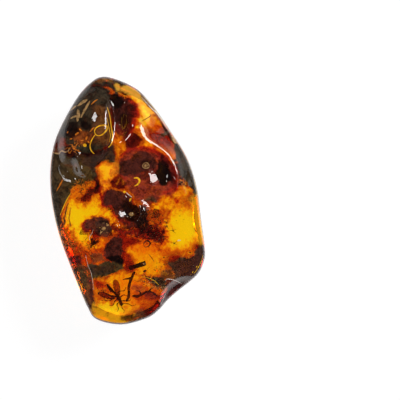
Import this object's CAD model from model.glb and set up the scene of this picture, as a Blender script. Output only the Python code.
"""Looks of the insect in amber: a clear polished pebble and all that the resin caught.

The pebble lies on its flat back with its front face up. Sizes are in millimetres until a mesh
is made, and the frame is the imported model's: +Y towards the narrow top, +Z out of the front.
"""

from __future__ import annotations

import logging
import math
import random
from dataclasses import dataclass, field
from enum import Enum
from typing import Union

import bmesh
import bpy
import numpy as np
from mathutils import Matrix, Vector, noise


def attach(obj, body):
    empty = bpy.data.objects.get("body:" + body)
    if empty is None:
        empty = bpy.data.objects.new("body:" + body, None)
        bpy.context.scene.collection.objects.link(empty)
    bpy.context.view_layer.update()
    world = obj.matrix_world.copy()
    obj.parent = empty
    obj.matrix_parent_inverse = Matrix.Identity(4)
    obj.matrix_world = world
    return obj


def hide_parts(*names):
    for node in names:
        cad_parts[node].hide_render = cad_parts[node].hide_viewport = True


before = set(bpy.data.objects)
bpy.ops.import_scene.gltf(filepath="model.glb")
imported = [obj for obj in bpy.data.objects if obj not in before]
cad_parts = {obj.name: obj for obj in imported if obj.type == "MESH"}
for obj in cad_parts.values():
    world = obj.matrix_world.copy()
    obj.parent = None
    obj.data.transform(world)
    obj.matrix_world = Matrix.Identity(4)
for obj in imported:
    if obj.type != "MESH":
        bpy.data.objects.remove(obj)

LOG = logging.getLogger("insect_in_amber")
MM = 0.001
ROOT = "root"
AMBER_IOR = 1.54
SOLID_IOR = 1.4
FULL_TURN = 2 * math.pi

Colour = tuple[float, float, float]
Feed = Union[bpy.types.NodeSocket, float, tuple]


# --- The pebble's form ---------------------------------------------------------------------


def turned(along: np.ndarray, across: np.ndarray, degrees: float) -> tuple[np.ndarray, np.ndarray]:
    """Turn plan positions about the origin.

    Args:
        along: Places along a thing's own length.
        across: Places across it.
        degrees: How far it is turned, anticlockwise from +X.

    Returns:
        The same places' x and y.
    """
    turn = math.radians(degrees)
    return (along * math.cos(turn) - across * math.sin(turn),
            along * math.sin(turn) + across * math.cos(turn))


@dataclass(frozen=True)
class Swell:
    """An oval of the front that rises, or sinks where rise is negative."""

    x: float
    y: float
    half_length: float
    half_width: float
    turn: float
    rise: float
    edge: float = 2.0

    def height(self, x: np.ndarray, y: np.ndarray) -> np.ndarray:
        """Return how much the swell adds at each place.

        Args:
            x: Places across the pebble.
            y: Places along the pebble.

        Returns:
            The added height at each place.
        """
        along, across = turned(x - self.x, y - self.y, -self.turn)
        reach = np.hypot(along / self.half_length, across / self.half_width)
        return self.rise * np.clip(1 - reach**self.edge, 0, None) ** 2


@dataclass(frozen=True)
class Ridge:
    """A rounded crest on the front: x, y, width and rise at each point of its path."""

    path: tuple[tuple[float, float, float, float], ...]

    def height(self, x: np.ndarray, y: np.ndarray) -> np.ndarray:
        """Return how much the ridge adds at each place.

        Args:
            x: Places across the pebble.
            y: Places along the pebble.

        Returns:
            The added height at each place.
        """
        line = smooth_curve(self.path)
        away = np.hypot(x[:, None] - line[:, 0], y[:, None] - line[:, 1])
        return (line[:, 3] * np.exp(-((away / line[:, 2]) ** 2))).max(1)


def smooth_curve(points: tuple, closed: bool = False, steps: int = 14) -> np.ndarray:
    """Return points close together along a smooth curve.

    Args:
        points: The points that the curve passes through.
        closed: Whether the curve comes back to its start.
        steps: How many points each span gets.

    Returns:
        The curve's points, one a row.
    """
    through = np.array(points, float)
    if not closed:
        through = np.vstack((through[:1], through, through[-1:]))
    before, after = np.roll(through, 1, 0), np.roll(through, -1, 0)
    beyond = np.roll(through, -2, 0)
    spans = []
    for step in range(steps):
        t = step / steps
        spans.append(0.5 * (
            2 * through
            + (after - before) * t
            + (2 * before - 5 * through + 4 * after - beyond) * t**2
            + (3 * through - before - 3 * after + beyond) * t**3
        ))
    curve = np.stack(spans, 1)
    if not closed:
        curve = curve[1:-2]
    return curve.reshape(-1, through.shape[1])


@dataclass(frozen=True)
class PebbleForm:
    """The outer form of the amber and the flow surface inside it."""

    outline: tuple[tuple[float, float], ...] = (
        (-3.9, 22.4), (1.2, 20.5), (4.4, 17.4), (7.65, 12.8), (10.7, 7.9), (12.5, 2.5),
        (13.3, -3.4), (14.0, -8.8), (13.7, -11.2), (12.4, -13.5), (9.1, -16.2), (7.2, -17.9),
        (5.7, -19.6), (3.6, -21.1), (-1.0, -22.3), (-5.5, -21.4), (-7.3, -19.0), (-10.2, -12.1),
        (-12.7, -4.9), (-13.95, 3.0), (-13.2, 10.4), (-9.9, 17.3), (-6.9, 21.1),
    )
    rim_height: float = 7.6
    rim_sway: float = 0.6
    crown_height: float = 6.8
    wall_share: float = 0.45
    crown_fullness: float = 3.5
    edge_sharpness: float = 120.0
    flat_share: float = 0.5
    back_waves: float = 0.5
    flow_height: float = 7.4
    flow_swell_x: float = 1.0
    flow_swell_y: float = 0.9
    sight_step: float = 0.05
    sight_rounds: int = 4
    swells: tuple[Swell, ...] = (
        Swell(-7.3, 12.4, 8.6, 5.0, 78, 1.8, 8.0),  # shoulder
        Swell(-1.6, 14.0, 4.8, 2.4, 88, -1.2),  # top hollow
        Swell(3.8, 5.3, 5.9, 4.9, -28, -1.0, 3.0),  # great hollow
        Swell(6.4, 4.5, 3.8, 2.6, -62, -0.8, 2.4),  # its deep end
        Swell(0.8, -2.1, 2.7, 2.4, -42, -1.1),  # low hollow
        Swell(-9.7, 6.0, 2.6, 2.2, 20, -1.5),  # side pit
        Swell(9.4, -16.8, 4.3, 2.9, 42, -3.0, 5.0),  # toe notch
        Swell(-1.5, -8.5, 12.5, 10.0, 100, 0.9),  # lower dome
    )
    ridges: tuple[Ridge, ...] = (
        Ridge(((0.6, 17.9, 0.9, 0.6), (1.7, 15.8, 1.6, 1.2), (2.3, 13.4, 2.4, 1.7),
               (2.7, 11.6, 2.4, 1.6), (3.8, 10.6, 1.9, 1.5), (6.0, 9.4, 1.5, 1.3),
               (7.8, 7.6, 1.4, 1.2), (8.8, 5.0, 1.3, 1.1), (9.0, 1.8, 1.2, 0.8))),
        Ridge(((2.2, -0.4, 0.9, 0.5), (2.9, -2.0, 1.0, 1.2), (2.3, -3.3, 0.8, 0.9),
               (0.8, -4.1, 0.7, 0.8), (-0.9, -4.3, 0.7, 0.5))),
        Ridge(((-8.7, 7.4, 0.8, 0.5), (-8.2, 5.8, 0.8, 0.8), (-7.3, 4.8, 0.8, 0.9),
               (-5.9, 4.3, 0.8, 0.5))),
        Ridge(((10.2, 1.8, 0.9, 0.2), (9.9, -0.4, 0.8, 0.4), (9.0, -2.4, 0.8, 0.2))),
    )

    def outline_reach(self, angles: np.ndarray) -> np.ndarray:
        """Return how far the outline is from the middle.

        Args:
            angles: Angles round the middle.

        Returns:
            The distance at each angle.
        """
        line = smooth_curve(self.outline, closed=True)
        at = np.arctan2(line[:, 1], line[:, 0])
        order = np.argsort(at)
        reach = np.hypot(line[:, 0], line[:, 1])[order]
        return np.interp(angles, at[order], reach, period=2 * math.pi)

    def crown(self, x: np.ndarray, y: np.ndarray) -> np.ndarray:
        """Return the front's height over the rim where it isn't drawn in towards it."""
        return self.crown_height + sum(part.height(x, y) for part in self.swells + self.ridges)

    def rim(self, angles: np.ndarray) -> np.ndarray:
        """Return the height of the widest line at each angle."""
        return self.rim_height + self.rim_sway * np.sin(angles + 0.8)

    def front(self, x: np.ndarray, y: np.ndarray, share: np.ndarray, angles: np.ndarray) -> np.ndarray:
        """Return the front's height.

        Args:
            x: Places across the pebble.
            y: Places along the pebble.
            share: 0 in the middle, rising to 1 at the outline.
            angles: The angle of each place round the middle.

        Returns:
            The height of the front at each place.
        """
        falling = 1 - (1 - self.wall_share) * share**self.crown_fullness
        rounded = np.sqrt(np.clip(1 - share**self.edge_sharpness, 0, 1))
        return self.rim(angles) + self.crown(x, y) * falling * rounded

    def back(self, x: np.ndarray, y: np.ndarray, share: np.ndarray, angles: np.ndarray) -> np.ndarray:
        """Return the back's height.

        Args:
            x: Places across the pebble.
            y: Places along the pebble.
            share: 0 in the middle, rising to 1 at the outline.
            angles: The angle of each place round the middle.

        Returns:
            The height of the back at each place.
        """
        turned = np.clip((share - self.flat_share) / (1 - self.flat_share), 0, 1)
        waves = self.back_waves * np.sin(0.42 * x + 1.0) * np.sin(0.33 * y) * turned * (1 - turned) * 4
        return np.maximum(self.rim(angles) * (1 - np.sqrt(1 - turned**2)) + waves * turned, 0)

    def skin(self, directions: np.ndarray) -> np.ndarray:
        """Place directions from the middle on the outer surface.

        Args:
            directions: Unit vectors, one a row.

        Returns:
            The point of the surface that each one reaches.
        """
        angles = np.arctan2(directions[:, 1], directions[:, 0])
        share = np.clip(np.hypot(directions[:, 0], directions[:, 1]), 0, 1)
        reach = share * self.outline_reach(angles)
        x, y = reach * np.cos(angles), reach * np.sin(angles)
        front = self.front(x, y, share, angles)
        back = self.back(x, y, share, angles)
        return np.column_stack((x, y, np.where(directions[:, 2] >= 0, front, back)))

    def inside(self, x: np.ndarray, y: np.ndarray, level: float, most: float = 0.975) -> np.ndarray:
        """Lay plan positions in the pebble at a share of its depth.

        Args:
            x: Places across the pebble.
            y: Places along the pebble.
            level: 0 at the back's surface and 1 at the front's.
            most: The share of the outline past which a place is drawn in.

        Returns:
            The points, one a row.
        """
        x, y = np.atleast_1d(np.asarray(x, float)), np.atleast_1d(np.asarray(y, float))
        angles = np.arctan2(y, x)
        reach = self.outline_reach(angles)
        share = np.hypot(x, y) / reach
        draw = np.minimum(1, most / np.maximum(share, 1e-6))
        x, y, share = x * draw, y * draw, share * draw
        front, back = self.front(x, y, share, angles), self.back(x, y, share, angles)
        return np.column_stack((x, y, back + (front - back) * level))

    def near_front(self, x: np.ndarray, y: np.ndarray, depth: float) -> np.ndarray:
        """Lay plan positions a little way under the front's surface.

        Args:
            x: Places across the pebble.
            y: Places along the pebble.
            depth: How far under the front they lie.

        Returns:
            The points, one a row.
        """
        places = self.inside(x, y, 1.0)
        places[:, 2] -= depth
        return places

    def seen(self, x: float, y: float) -> np.ndarray:
        """Find the place on the flow surface that shows at x, y through the polished front.

        Args:
            x: Where it shows, across the pebble.
            y: Where it shows, along the pebble.

        Returns:
            The place itself.
        """
        step = self.sight_step
        corner = self.inside((x, x + step, x), (y, y, y + step), 1.0)[:, 2]
        out = np.array((corner[0] - corner[1], corner[0] - corner[2], step))
        out /= np.linalg.norm(out)
        bend = math.sqrt(1 - (1 - out[2] ** 2) / AMBER_IOR**2) - out[2] / AMBER_IOR
        sight = np.array((0, 0, -1)) / AMBER_IOR - out * bend
        place = np.array((x, y, corner[0]))
        for _ in range(self.sight_rounds):
            place = place + sight * (self.flow(place[0], place[1]) - place[2]) / sight[2]
        return place

    def flow(self, x: np.ndarray, y: np.ndarray) -> np.ndarray:
        """Return the height of the surface between the two flows of resin."""
        swell_y = self.flow_swell_y * np.sin(0.15 * y - 0.5) * np.cos(0.1 * x)
        return self.flow_height + self.flow_swell_x * np.sin(0.2 * x + 0.9) + swell_y

    def on_flow(self, x: np.ndarray, y: np.ndarray, sunk: float) -> np.ndarray:
        """Lay plan positions just under the surface between the two flows of resin.

        Args:
            x: Places across the pebble.
            y: Places along the pebble.
            sunk: How far below that surface they lie.

        Returns:
            The points, one a row, kept inside the amber.
        """
        low, high = self.inside(x, y, 0.1), self.inside(x, y, 0.9)
        low[:, 2] = np.clip(self.flow(low[:, 0], low[:, 1]) - sunk, low[:, 2], high[:, 2])
        return low


FORM = PebbleForm()


# --- Meshes ----------------------------------------------------------------------------------


class MeshStock:
    """Points and faces of several shapes that become one mesh."""

    def __init__(self) -> None:
        """Start with nothing."""
        self.points: list[np.ndarray] = []
        self.faces: list[tuple[int, ...]] = []
        self.count = 0

    def add(self, points: np.ndarray, faces: list) -> None:
        """Add one shape.

        Args:
            points: Its points in millimetres, one a row.
            faces: Its faces, as rows of its points.
        """
        self.points.append(points)
        self.faces += [tuple(corner + self.count for corner in face) for face in faces]
        self.count += len(points)

    def build(self, name: str, material: bpy.types.Material, slot: str,
              replaces: tuple[str, ...] = ()) -> bpy.types.Object:
        """Make the mesh object, dressed and riding on the amber's body.

        Args:
            name: The piece's name.
            material: Its finish.
            slot: The record's material slot that it takes its finish from.
            replaces: The CAD nodes that it stands for.

        Returns:
            The new object.
        """
        mesh = bpy.data.meshes.new(name)
        mesh.from_pydata((np.vstack(self.points) * MM).tolist(), [], self.faces)
        mesh.shade_smooth()
        mesh.materials.append(material)
        piece = bpy.data.objects.new(name, mesh)
        bpy.context.scene.collection.objects.link(piece)
        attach(piece, ROOT)
        if replaces:
            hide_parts(*replaces)
        LOG.info("%s: %d faces", name, len(mesh.polygons))
        return piece


def band(low: int, high: int, count: int) -> list[tuple[int, ...]]:
    """Return the faces between two rings of points.

    Args:
        low: The first point of one ring.
        high: The first point of the other ring.
        count: How many points each ring has.

    Returns:
        Four-sided faces, as rows of points.
    """
    pairs = [(step, (step + 1) % count) for step in range(count)]
    return [(low + step, low + after, high + after, high + step) for step, after in pairs]


def ball(detail: int) -> tuple[np.ndarray, list]:
    """Return a round ball of radius 1.

    Args:
        detail: How often an icosahedron is divided to make it.

    Returns:
        The ball's points and its faces.
    """
    shape = bmesh.new()
    bmesh.ops.create_icosphere(shape, subdivisions=detail, radius=1.0)
    points = np.array([corner.co.normalized() for corner in shape.verts])
    faces = [tuple(corner.index for corner in face.verts) for face in shape.faces]
    shape.free()
    return points, faces


def disc(rings: int, segments: int) -> tuple[np.ndarray, np.ndarray, list]:
    """Return a flat disc's points in polar form.

    Args:
        rings: How many rings of points lie round the middle one.
        segments: How many points each ring has.

    Returns:
        The share of the radius of each point, its angle, and the faces.
    """
    turns = np.arange(segments) * FULL_TURN / segments
    shares = np.append(0.0, np.repeat(np.arange(1, rings + 1) / rings, segments))
    faces = [(0, 1 + step, 1 + (step + 1) % segments) for step in range(segments)]
    for ring in range(rings - 1):
        faces += band(1 + (ring + 1) * segments, 1 + ring * segments, segments)
    return shares, np.append(0.0, np.tile(turns, rings)), faces


def tube(path: np.ndarray, radii: np.ndarray, sides: int = 7) -> tuple[np.ndarray, list]:
    """Return a round tube that follows a path.

    Args:
        path: The points of its middle line, one a row.
        radii: Its radius at each point.
        sides: How many points lie round it.

    Returns:
        The tube's points and its faces.
    """
    along = np.gradient(path, axis=0)
    along /= np.maximum(np.linalg.norm(along, axis=1, keepdims=True), 1e-9)
    aside = np.cross(along, (0.0, 0.0, 1.0))
    flat = np.linalg.norm(aside, axis=1) < 0.1
    aside[flat] = np.cross(along[flat], (0.0, 1.0, 0.0))
    aside /= np.linalg.norm(aside, axis=1, keepdims=True)
    over = np.cross(aside, along)
    turns = np.arange(sides) * FULL_TURN / sides
    rings = (path[:, None] + radii[:, None, None] * (
        aside[:, None] * np.cos(turns)[:, None] + over[:, None] * np.sin(turns)[:, None]))
    points = np.vstack((rings.reshape(-1, 3), path[:1], path[-1:]))
    first, last, end, faces = len(points) - 2, len(points) - 1, (len(path) - 1) * sides, []
    for ring in range(len(path) - 1):
        faces += band(ring * sides, (ring + 1) * sides, sides)
    for side in range(sides):
        after = (side + 1) % sides
        faces += [(first, after, side), (last, end + side, end + after)]
    return points, faces


# --- Shader nodes ------------------------------------------------------------------------------


class NodeKit:
    """Short ways to fill a node tree."""

    def __init__(self, tree: bpy.types.NodeTree) -> None:
        """Work on one tree."""
        self.tree = tree

    def node(self, kind: str, inputs: dict | None = None, **settings: object) -> bpy.types.Node:
        """Add a node.

        Args:
            kind: Its type's name, without the leading ShaderNode.
            inputs: Values or output sockets for its inputs, by name or number.
            **settings: Values of its own settings.

        Returns:
            The new node.
        """
        made = self.tree.nodes.new(f"ShaderNode{kind}")
        for name, value in settings.items():
            setattr(made, name, value)
        return self.fill(made, inputs or {})

    def fill(self, made: bpy.types.Node, inputs: dict) -> bpy.types.Node:
        """Feed several inputs of a node.

        Args:
            made: The node.
            inputs: Values or output sockets for its inputs, by name or number.

        Returns:
            The same node.
        """
        for name, value in inputs.items():
            self.feed(made.inputs[name], value)
        return made

    def feed(self, socket: bpy.types.NodeSocket, value: Feed) -> None:
        """Link an output to a socket, or set the socket's own value.

        Args:
            socket: The input socket.
            value: An output socket, or a plain value.
        """
        if isinstance(value, bpy.types.NodeSocket):
            self.tree.links.new(value, socket)
        else:
            socket.default_value = value

    def maths(self, operation: str, first: Feed, second: Feed) -> bpy.types.NodeSocket:
        """Return the result of one sum."""
        return self.node("Math", {0: first, 1: second}, operation=operation).outputs[0]

    def noise(self, vector: Feed, scale: Feed, detail: float = 4.0,
              distortion: float = 0.0) -> bpy.types.NodeSocket:
        """Return a fractal noise's value, from 0 to 1."""
        inputs = {"Vector": vector, "Scale": scale, "Detail": detail, "Distortion": distortion}
        return self.node("TexNoise", inputs).outputs["Fac"]

    def remap(self, value: Feed, low: Feed, high: Feed, to_low: Feed = 0.0,
              to_high: Feed = 1.0) -> bpy.types.NodeSocket:
        """Return a value moved smoothly from one range to another."""
        inputs = {"Value": value, "From Min": low, "From Max": high, "To Min": to_low, "To Max": to_high}
        return self.node("MapRange", inputs, interpolation_type="SMOOTHSTEP").outputs["Result"]

    def blend(self, share: Feed, first: Feed, second: Feed) -> bpy.types.NodeSocket:
        """Mix two colours.

        Args:
            share: How much of the second colour is in the mix.
            first: The first colour.
            second: The second colour.

        Returns:
            The mixed colour.
        """
        made = self.node("Mix", data_type="RGBA", clamp_factor=False)
        self.feed(made.inputs["Factor"], share)
        for name, value in (("A", first), ("B", second)):
            socket = next(s for s in made.inputs if s.name == name and s.type == "RGBA")
            self.feed(socket, value if isinstance(value, bpy.types.NodeSocket) else (*value, 1.0))
        return next(s for s in made.outputs if s.type == "RGBA")

    def place(self) -> bpy.types.NodeSocket:
        """Return the surface's own place, in metres."""
        return self.node("TexCoord").outputs["Object"]

    def group(self, tree: bpy.types.NodeTree, inputs: dict) -> bpy.types.Node:
        """Add a node group.

        Args:
            tree: The group.
            inputs: Values or output sockets for its inputs, by name.

        Returns:
            The new node.
        """
        made = self.tree.nodes.new("ShaderNodeGroup")
        made.node_tree = tree
        return self.fill(made, inputs)


def new_group(name: str, inputs: dict[str, float | tuple], outputs: dict[str, str]) -> tuple:
    """Start a node group.

    Args:
        name: The group's name.
        inputs: The default of each input; a tuple of four makes a colour.
        outputs: The socket type of each output.

    Returns:
        The group, a kit that fills it, and its input and output nodes.
    """
    tree = bpy.data.node_groups.new(name, "ShaderNodeTree")
    for label, value in inputs.items():
        kind = "NodeSocketColor" if isinstance(value, tuple) else "NodeSocketFloat"
        tree.interface.new_socket(label, in_out="INPUT", socket_type=kind).default_value = value
    for label, kind in outputs.items():
        tree.interface.new_socket(label, in_out="OUTPUT", socket_type=kind)
    return tree, NodeKit(tree), tree.nodes.new("NodeGroupInput"), tree.nodes.new("NodeGroupOutput")


def mottle_group() -> bpy.types.NodeTree:
    """Build the group that gives a piece patches, grains and a bumpy skin.

    Returns:
        The group: two colours in, a patchy colour, a height and a mask out.
    """
    tree, kit, given, result = new_group(
        "mottle",
        {"Dark": (0.0, 0.0, 0.0, 1.0), "Light": (1.0, 1.0, 1.0, 1.0), "Scale": 900.0, "Balance": 0.5},
        {"Color": "NodeSocketColor", "Height": "NodeSocketFloat", "Mask": "NodeSocketFloat"},
    )
    half_edge, finer, grain_share = 0.13, 4.5, 0.4
    place, balance = kit.place(), given.outputs["Balance"]
    patches = kit.noise(place, given.outputs["Scale"], 5.0, 0.6)
    grains = kit.noise(place, kit.maths("MULTIPLY", given.outputs["Scale"], finer), 3.0)
    mask = kit.remap(patches, kit.maths("SUBTRACT", balance, half_edge),
                     kit.maths("ADD", balance, half_edge))
    kit.fill(result, {
        "Color": kit.blend(mask, given.outputs["Dark"], given.outputs["Light"]),
        "Mask": mask,
        "Height": kit.maths("ADD", patches, kit.maths("MULTIPLY", grains, grain_share)),
    })
    return tree


def density_group() -> bpy.types.NodeTree:
    """Build the group that makes a stain thicker and thinner in streaks and grains.

    Returns:
        The group: a stain's colour in, and the uneven colour out.
    """
    tree, kit, given, result = new_group(
        "stain_density", {"Color": (1.0, 1.0, 1.0, 1.0), "Scale": 900.0, "Least": 0.6, "Most": 1.5},
        {"Color": "NodeSocketColor"},
    )
    thin, thick = 0.3, 0.7
    clouds = kit.noise(kit.place(), given.outputs["Scale"], 6.0, 1.4)
    power = kit.remap(clouds, thin, thick, given.outputs["Least"], given.outputs["Most"])
    uneven = kit.node("Gamma", {"Color": given.outputs["Color"], "Gamma": power})
    kit.feed(result.inputs["Color"], uneven.outputs["Color"])
    return tree


def glow_group() -> bpy.types.NodeTree:
    """Build the group that lights up the lumps and grains of what is caught.

    Returns:
        The group: an even colour in, and one with bright and dark grains out.
    """
    tree, kit, given, result = new_group(
        "grainy_glow", {"Color": (0.0, 0.0, 0.0, 1.0), "Scale": 800.0, "Least": 0.3, "Most": 1.9},
        {"Color": "NodeSocketColor"},
    )
    finer, grain_share, dull, bright = 4.2, 0.4, 0.36, 0.64
    dim_red, full_red, least_grain = 0.1, 0.6, 0.12
    place = kit.place()
    lumps = kit.noise(place, given.outputs["Scale"], 5.0, 0.8)
    grains = kit.noise(place, kit.maths("MULTIPLY", given.outputs["Scale"], finer), 3.0, 0.4)
    both = kit.maths("ADD", kit.maths("MULTIPLY", lumps, 1 - grain_share),
                     kit.maths("MULTIPLY", grains, grain_share))
    lit = kit.remap(both, dull, bright, given.outputs["Least"], given.outputs["Most"])
    red = kit.node("SeparateColor", {"Color": given.outputs["Color"]}).outputs["Red"]
    uneven = kit.remap(red, dim_red, full_red, 1.0, least_grain)
    share = kit.maths("ADD", kit.maths("MULTIPLY", kit.maths("SUBTRACT", lit, 1.0), uneven), 1.0)
    kit.feed(result.inputs["Color"], kit.blend(share, (0.0, 0.0, 0.0), given.outputs["Color"]))
    return tree


class Groups:
    """The node groups that several finishes share."""

    def __init__(self) -> None:
        """Build each group once."""
        self.mottle = mottle_group()
        self.density = density_group()
        self.glow = glow_group()


def new_material(name: str) -> tuple[bpy.types.Material, NodeKit, bpy.types.Node]:
    """Start a material.

    Args:
        name: Its name.

    Returns:
        The material, a kit that fills it, and its Principled shader.
    """
    material = bpy.data.materials.new(name)
    material.use_nodes = True
    return material, NodeKit(material.node_tree), material.node_tree.nodes["Principled BSDF"]


@dataclass(frozen=True)
class ClearAmber:
    """The polished amber itself: clear resin that takes blue out of what passes."""

    passed: Colour = (0.9925, 0.91, 0.003)
    density: float = 500.0
    smear_scale: float = 260.0
    smear_edge: tuple[float, float] = (0.55, 0.8)
    smear_roughness: float = 0.035
    wave_scale: float = 330.0
    wave_strength: float = 0.6
    wave_depth: float = 0.00002

    def build(self) -> bpy.types.Material:
        """Make the material.

        Returns:
            The material.
        """
        material, kit, shader = new_material("clear_amber")
        place = kit.place()
        smears = kit.noise(place, self.smear_scale, 3.0)
        waves = kit.noise(place, self.wave_scale, 2.0)
        bump = kit.node("Bump", {"Height": waves, "Strength": self.wave_strength,
                                 "Distance": self.wave_depth})
        kit.fill(shader, {
            "Base Color": (1.0, 1.0, 1.0, 1.0), "IOR": AMBER_IOR, "Transmission Weight": 1.0,
            "Roughness": kit.remap(smears, *self.smear_edge, 0.0, self.smear_roughness),
            "Normal": bump.outputs["Normal"],
        })
        taken = kit.node("VolumeAbsorption", {"Color": (*self.passed, 1.0), "Density": self.density})
        kit.feed(material.node_tree.nodes["Material Output"].inputs["Volume"], taken.outputs[0])
        return material


FILM = {"Emission Strength": 1.0, "Transmission Weight": 1.0, "IOR": 1.0, "Roughness": 0.0}


class Stain(Enum):
    """What a stain in the resin lets through at a crossing, and what it throws back."""

    GOLD = ((0.98, 0.80, 0.6), (0.06, 0.035, 0.006), 0.0)
    ORANGE = ((0.86, 0.42, 0.2), (0.01, 0.003, 0.0), 0.35)
    EMBER = ((0.42, 0.09, 0.08), (0.02, 0.003, 0.001), 0.7)
    RED = ((0.20, 0.012, 0.02), (0.02, 0.002, 0.001), 0.9)
    CRIMSON = ((0.05, 0.003, 0.004), (0.018, 0.001, 0.001), 1.0)
    ROSE = ((0.11, 0.015, 0.02), (0.10, 0.015, 0.0125), 1.0)
    MAROON = ((0.02, 0.004, 0.01), (0.040, 0.0085, 0.0085), 1.0)
    GARNET = ((0.12, 0.006, 0.01), (0.125, 0.006, 0.005), 1.0)
    BROWN = ((0.08, 0.035, 0.1), (0.055, 0.021, 0.012), 0.8)
    UMBER = ((0.014, 0.009, 0.01), (0.027, 0.020, 0.0155), 0.8)
    BARK = ((0.014, 0.008, 0.01), (0.040, 0.017, 0.013), 0.9)
    OLIVE = ((0.015, 0.013, 0.02), (0.036, 0.022, 0.012), 0.7)
    TAN = ((0.4, 0.26, 0.3), (0.20, 0.11, 0.045), 0.0)
    NIGHT = ((0.004, 0.002, 0.002), (0.004, 0.001, 0.001), 1.0)
    PLUM = ((0.03, 0.006, 0.012), (0.06, 0.013, 0.011), 1.0)
    SLATE = ((0.012, 0.008, 0.01), (0.026, 0.013, 0.013), 0.9)
    DUSK = ((0.20, 0.09, 0.1), (0.09, 0.036, 0.012), 0.0)
    RUST = ((0.25, 0.05, 0.05), (0.14, 0.034, 0.007), 0.0)
    HEARTH = ((0.12, 0.012, 0.02), (0.022, 0.002, 0.001), 0.9)
    LIT = ((0.98, 0.85, 0.6), (0.74, 0.40, 0.05), 0.0)
    HONEY = ((0.95, 0.62, 0.4), (0.78, 0.34, 0.005), 0.0)

    @property
    def passed(self) -> np.ndarray:
        """Return what it lets through."""
        return np.array(self.value[0])

    @property
    def thrown(self) -> np.ndarray:
        """Return what it throws back."""
        return np.array(self.value[1])

    @property
    def clouds(self) -> float:
        """Return how strongly it clouds the resin round it."""
        return self.value[2]


@dataclass(frozen=True)
class StainFinish:
    """A thin stained flow inside the amber, tinted point by point."""

    name: str
    groups: Groups
    least: float = 0.7
    most: float = 1.35

    def build(self) -> bpy.types.Material:
        """Make the material.

        Returns:
            The material.
        """
        material, kit, shader = new_material(self.name)
        passed, thrown = (kit.node("Attribute", attribute_name=label) for label in ("passed", "thrown"))
        uneven = kit.group(self.groups.density, {
            "Color": passed.outputs["Color"], "Least": self.least, "Most": self.most,
        })
        lit = kit.group(self.groups.glow, {"Color": thrown.outputs["Color"]})
        kit.fill(shader, {"Base Color": uneven.outputs["Color"], "Emission Color": lit.outputs["Color"]})
        kit.fill(shader, FILM)
        return material


@dataclass(frozen=True)
class MembraneFinish:
    """An insect's clear wing: a brown film that light passes."""

    name: str
    passed: Colour = (0.46, 0.16, 0.12)
    thrown: Colour = (0.03, 0.009, 0.003)
    cells: float = 2600.0
    vein_edge: tuple[float, float] = (0.02, 0.12)
    vein_tone: float = 0.3

    def build(self) -> bpy.types.Material:
        """Make the material.

        Returns:
            The material.
        """
        material, kit, shader = new_material(self.name)
        cells = kit.node("TexVoronoi", {"Vector": kit.place(), "Scale": self.cells},
                         feature="DISTANCE_TO_EDGE")
        film = tuple(share**2 for share in self.passed)
        vein = tuple(share * self.vein_tone for share in film)
        base = kit.blend(kit.remap(cells.outputs["Distance"], *self.vein_edge), vein, film)
        kit.fill(shader, {"Base Color": base, "Emission Color": (*self.thrown, 1.0)})
        kit.fill(shader, FILM)
        return material


@dataclass(frozen=True)
class SolidFinish:
    """A dull natural surface in two colours, such as soil, bark or chitin."""

    name: str
    dark: Colour
    light: Colour
    scale: float = 900.0
    balance: float = 0.5
    roughness: float = 0.6
    bump: float = 0.0001
    glow: float = 0.4
    sway: float = 0.15

    def build(self, groups: Groups) -> bpy.types.Material:
        """Make the material.

        Args:
            groups: The shared node groups.

        Returns:
            The material.
        """
        material, kit, shader = new_material(self.name)
        mottle = kit.group(groups.mottle, {
            "Dark": (*self.dark, 1.0), "Light": (*self.light, 1.0),
            "Scale": self.scale, "Balance": self.balance,
        })
        bump = kit.node("Bump", {"Height": mottle.outputs["Height"], "Distance": self.bump})
        rough = kit.remap(mottle.outputs["Mask"], 0.0, 1.0, self.roughness - self.sway,
                          self.roughness + self.sway)
        kit.fill(shader, {
            "Base Color": mottle.outputs["Color"], "Roughness": rough, "Normal": bump.outputs["Normal"],
            "IOR": SOLID_IOR, "Emission Color": mottle.outputs["Color"], "Emission Strength": self.glow,
        })
        return material


FINISHES = {
    "debris": SolidFinish("debris", (0.006, 0.002, 0.002), (0.12, 0.02, 0.015), 900.0, 0.5, 0.75),
    "insect": SolidFinish("chitin", (0.010, 0.004, 0.002), (0.06, 0.02, 0.007), 1500.0, 0.5, 0.4,
                          0.00004, 0.6),
    "twig": SolidFinish("twig", (0.02, 0.009, 0.004), (0.11, 0.04, 0.01), 1600.0, 0.5, 0.6,
                        0.00006, 0.8),
    "charred_wood": SolidFinish("charred_wood", (0.006, 0.005, 0.004), (0.05, 0.034, 0.024), 1500.0,
                                0.5, 0.6, 0.00008, 0.6),
    "bark": SolidFinish("bark", (0.01, 0.006, 0.006), (0.09, 0.035, 0.03), 700.0, 0.5, 0.6),
    "flake": SolidFinish("flake", (0.25, 0.12, 0.04), (0.75, 0.5, 0.25), 2500.0, 0.5, 0.5),
}


# --- The amber ---------------------------------------------------------------------------------


@dataclass
class AmberPebble:
    """The clear pebble: one closed skin with the polished relief of its front."""

    detail: int = 7
    finish: ClearAmber = field(default_factory=ClearAmber)

    def build(self) -> bpy.types.Object:
        """Build the skin in place of the two halves.

        Returns:
            The new object.
        """
        stock = MeshStock()
        directions, faces = ball(self.detail)
        stock.add(FORM.skin(directions), faces)
        return stock.build("amber", self.finish.build(), "amber", ("amber_front", "amber_back"))


HALO_SWAY = 0.35  # how much noise widens and narrows a stain's cloud
HALO_FALL = 1.3  # how steeply the cloud thins outwards
LEAST_HALO = 0.15
STREAK_SWAY = 0.5
LEAST_STREAK = 0.02


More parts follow.
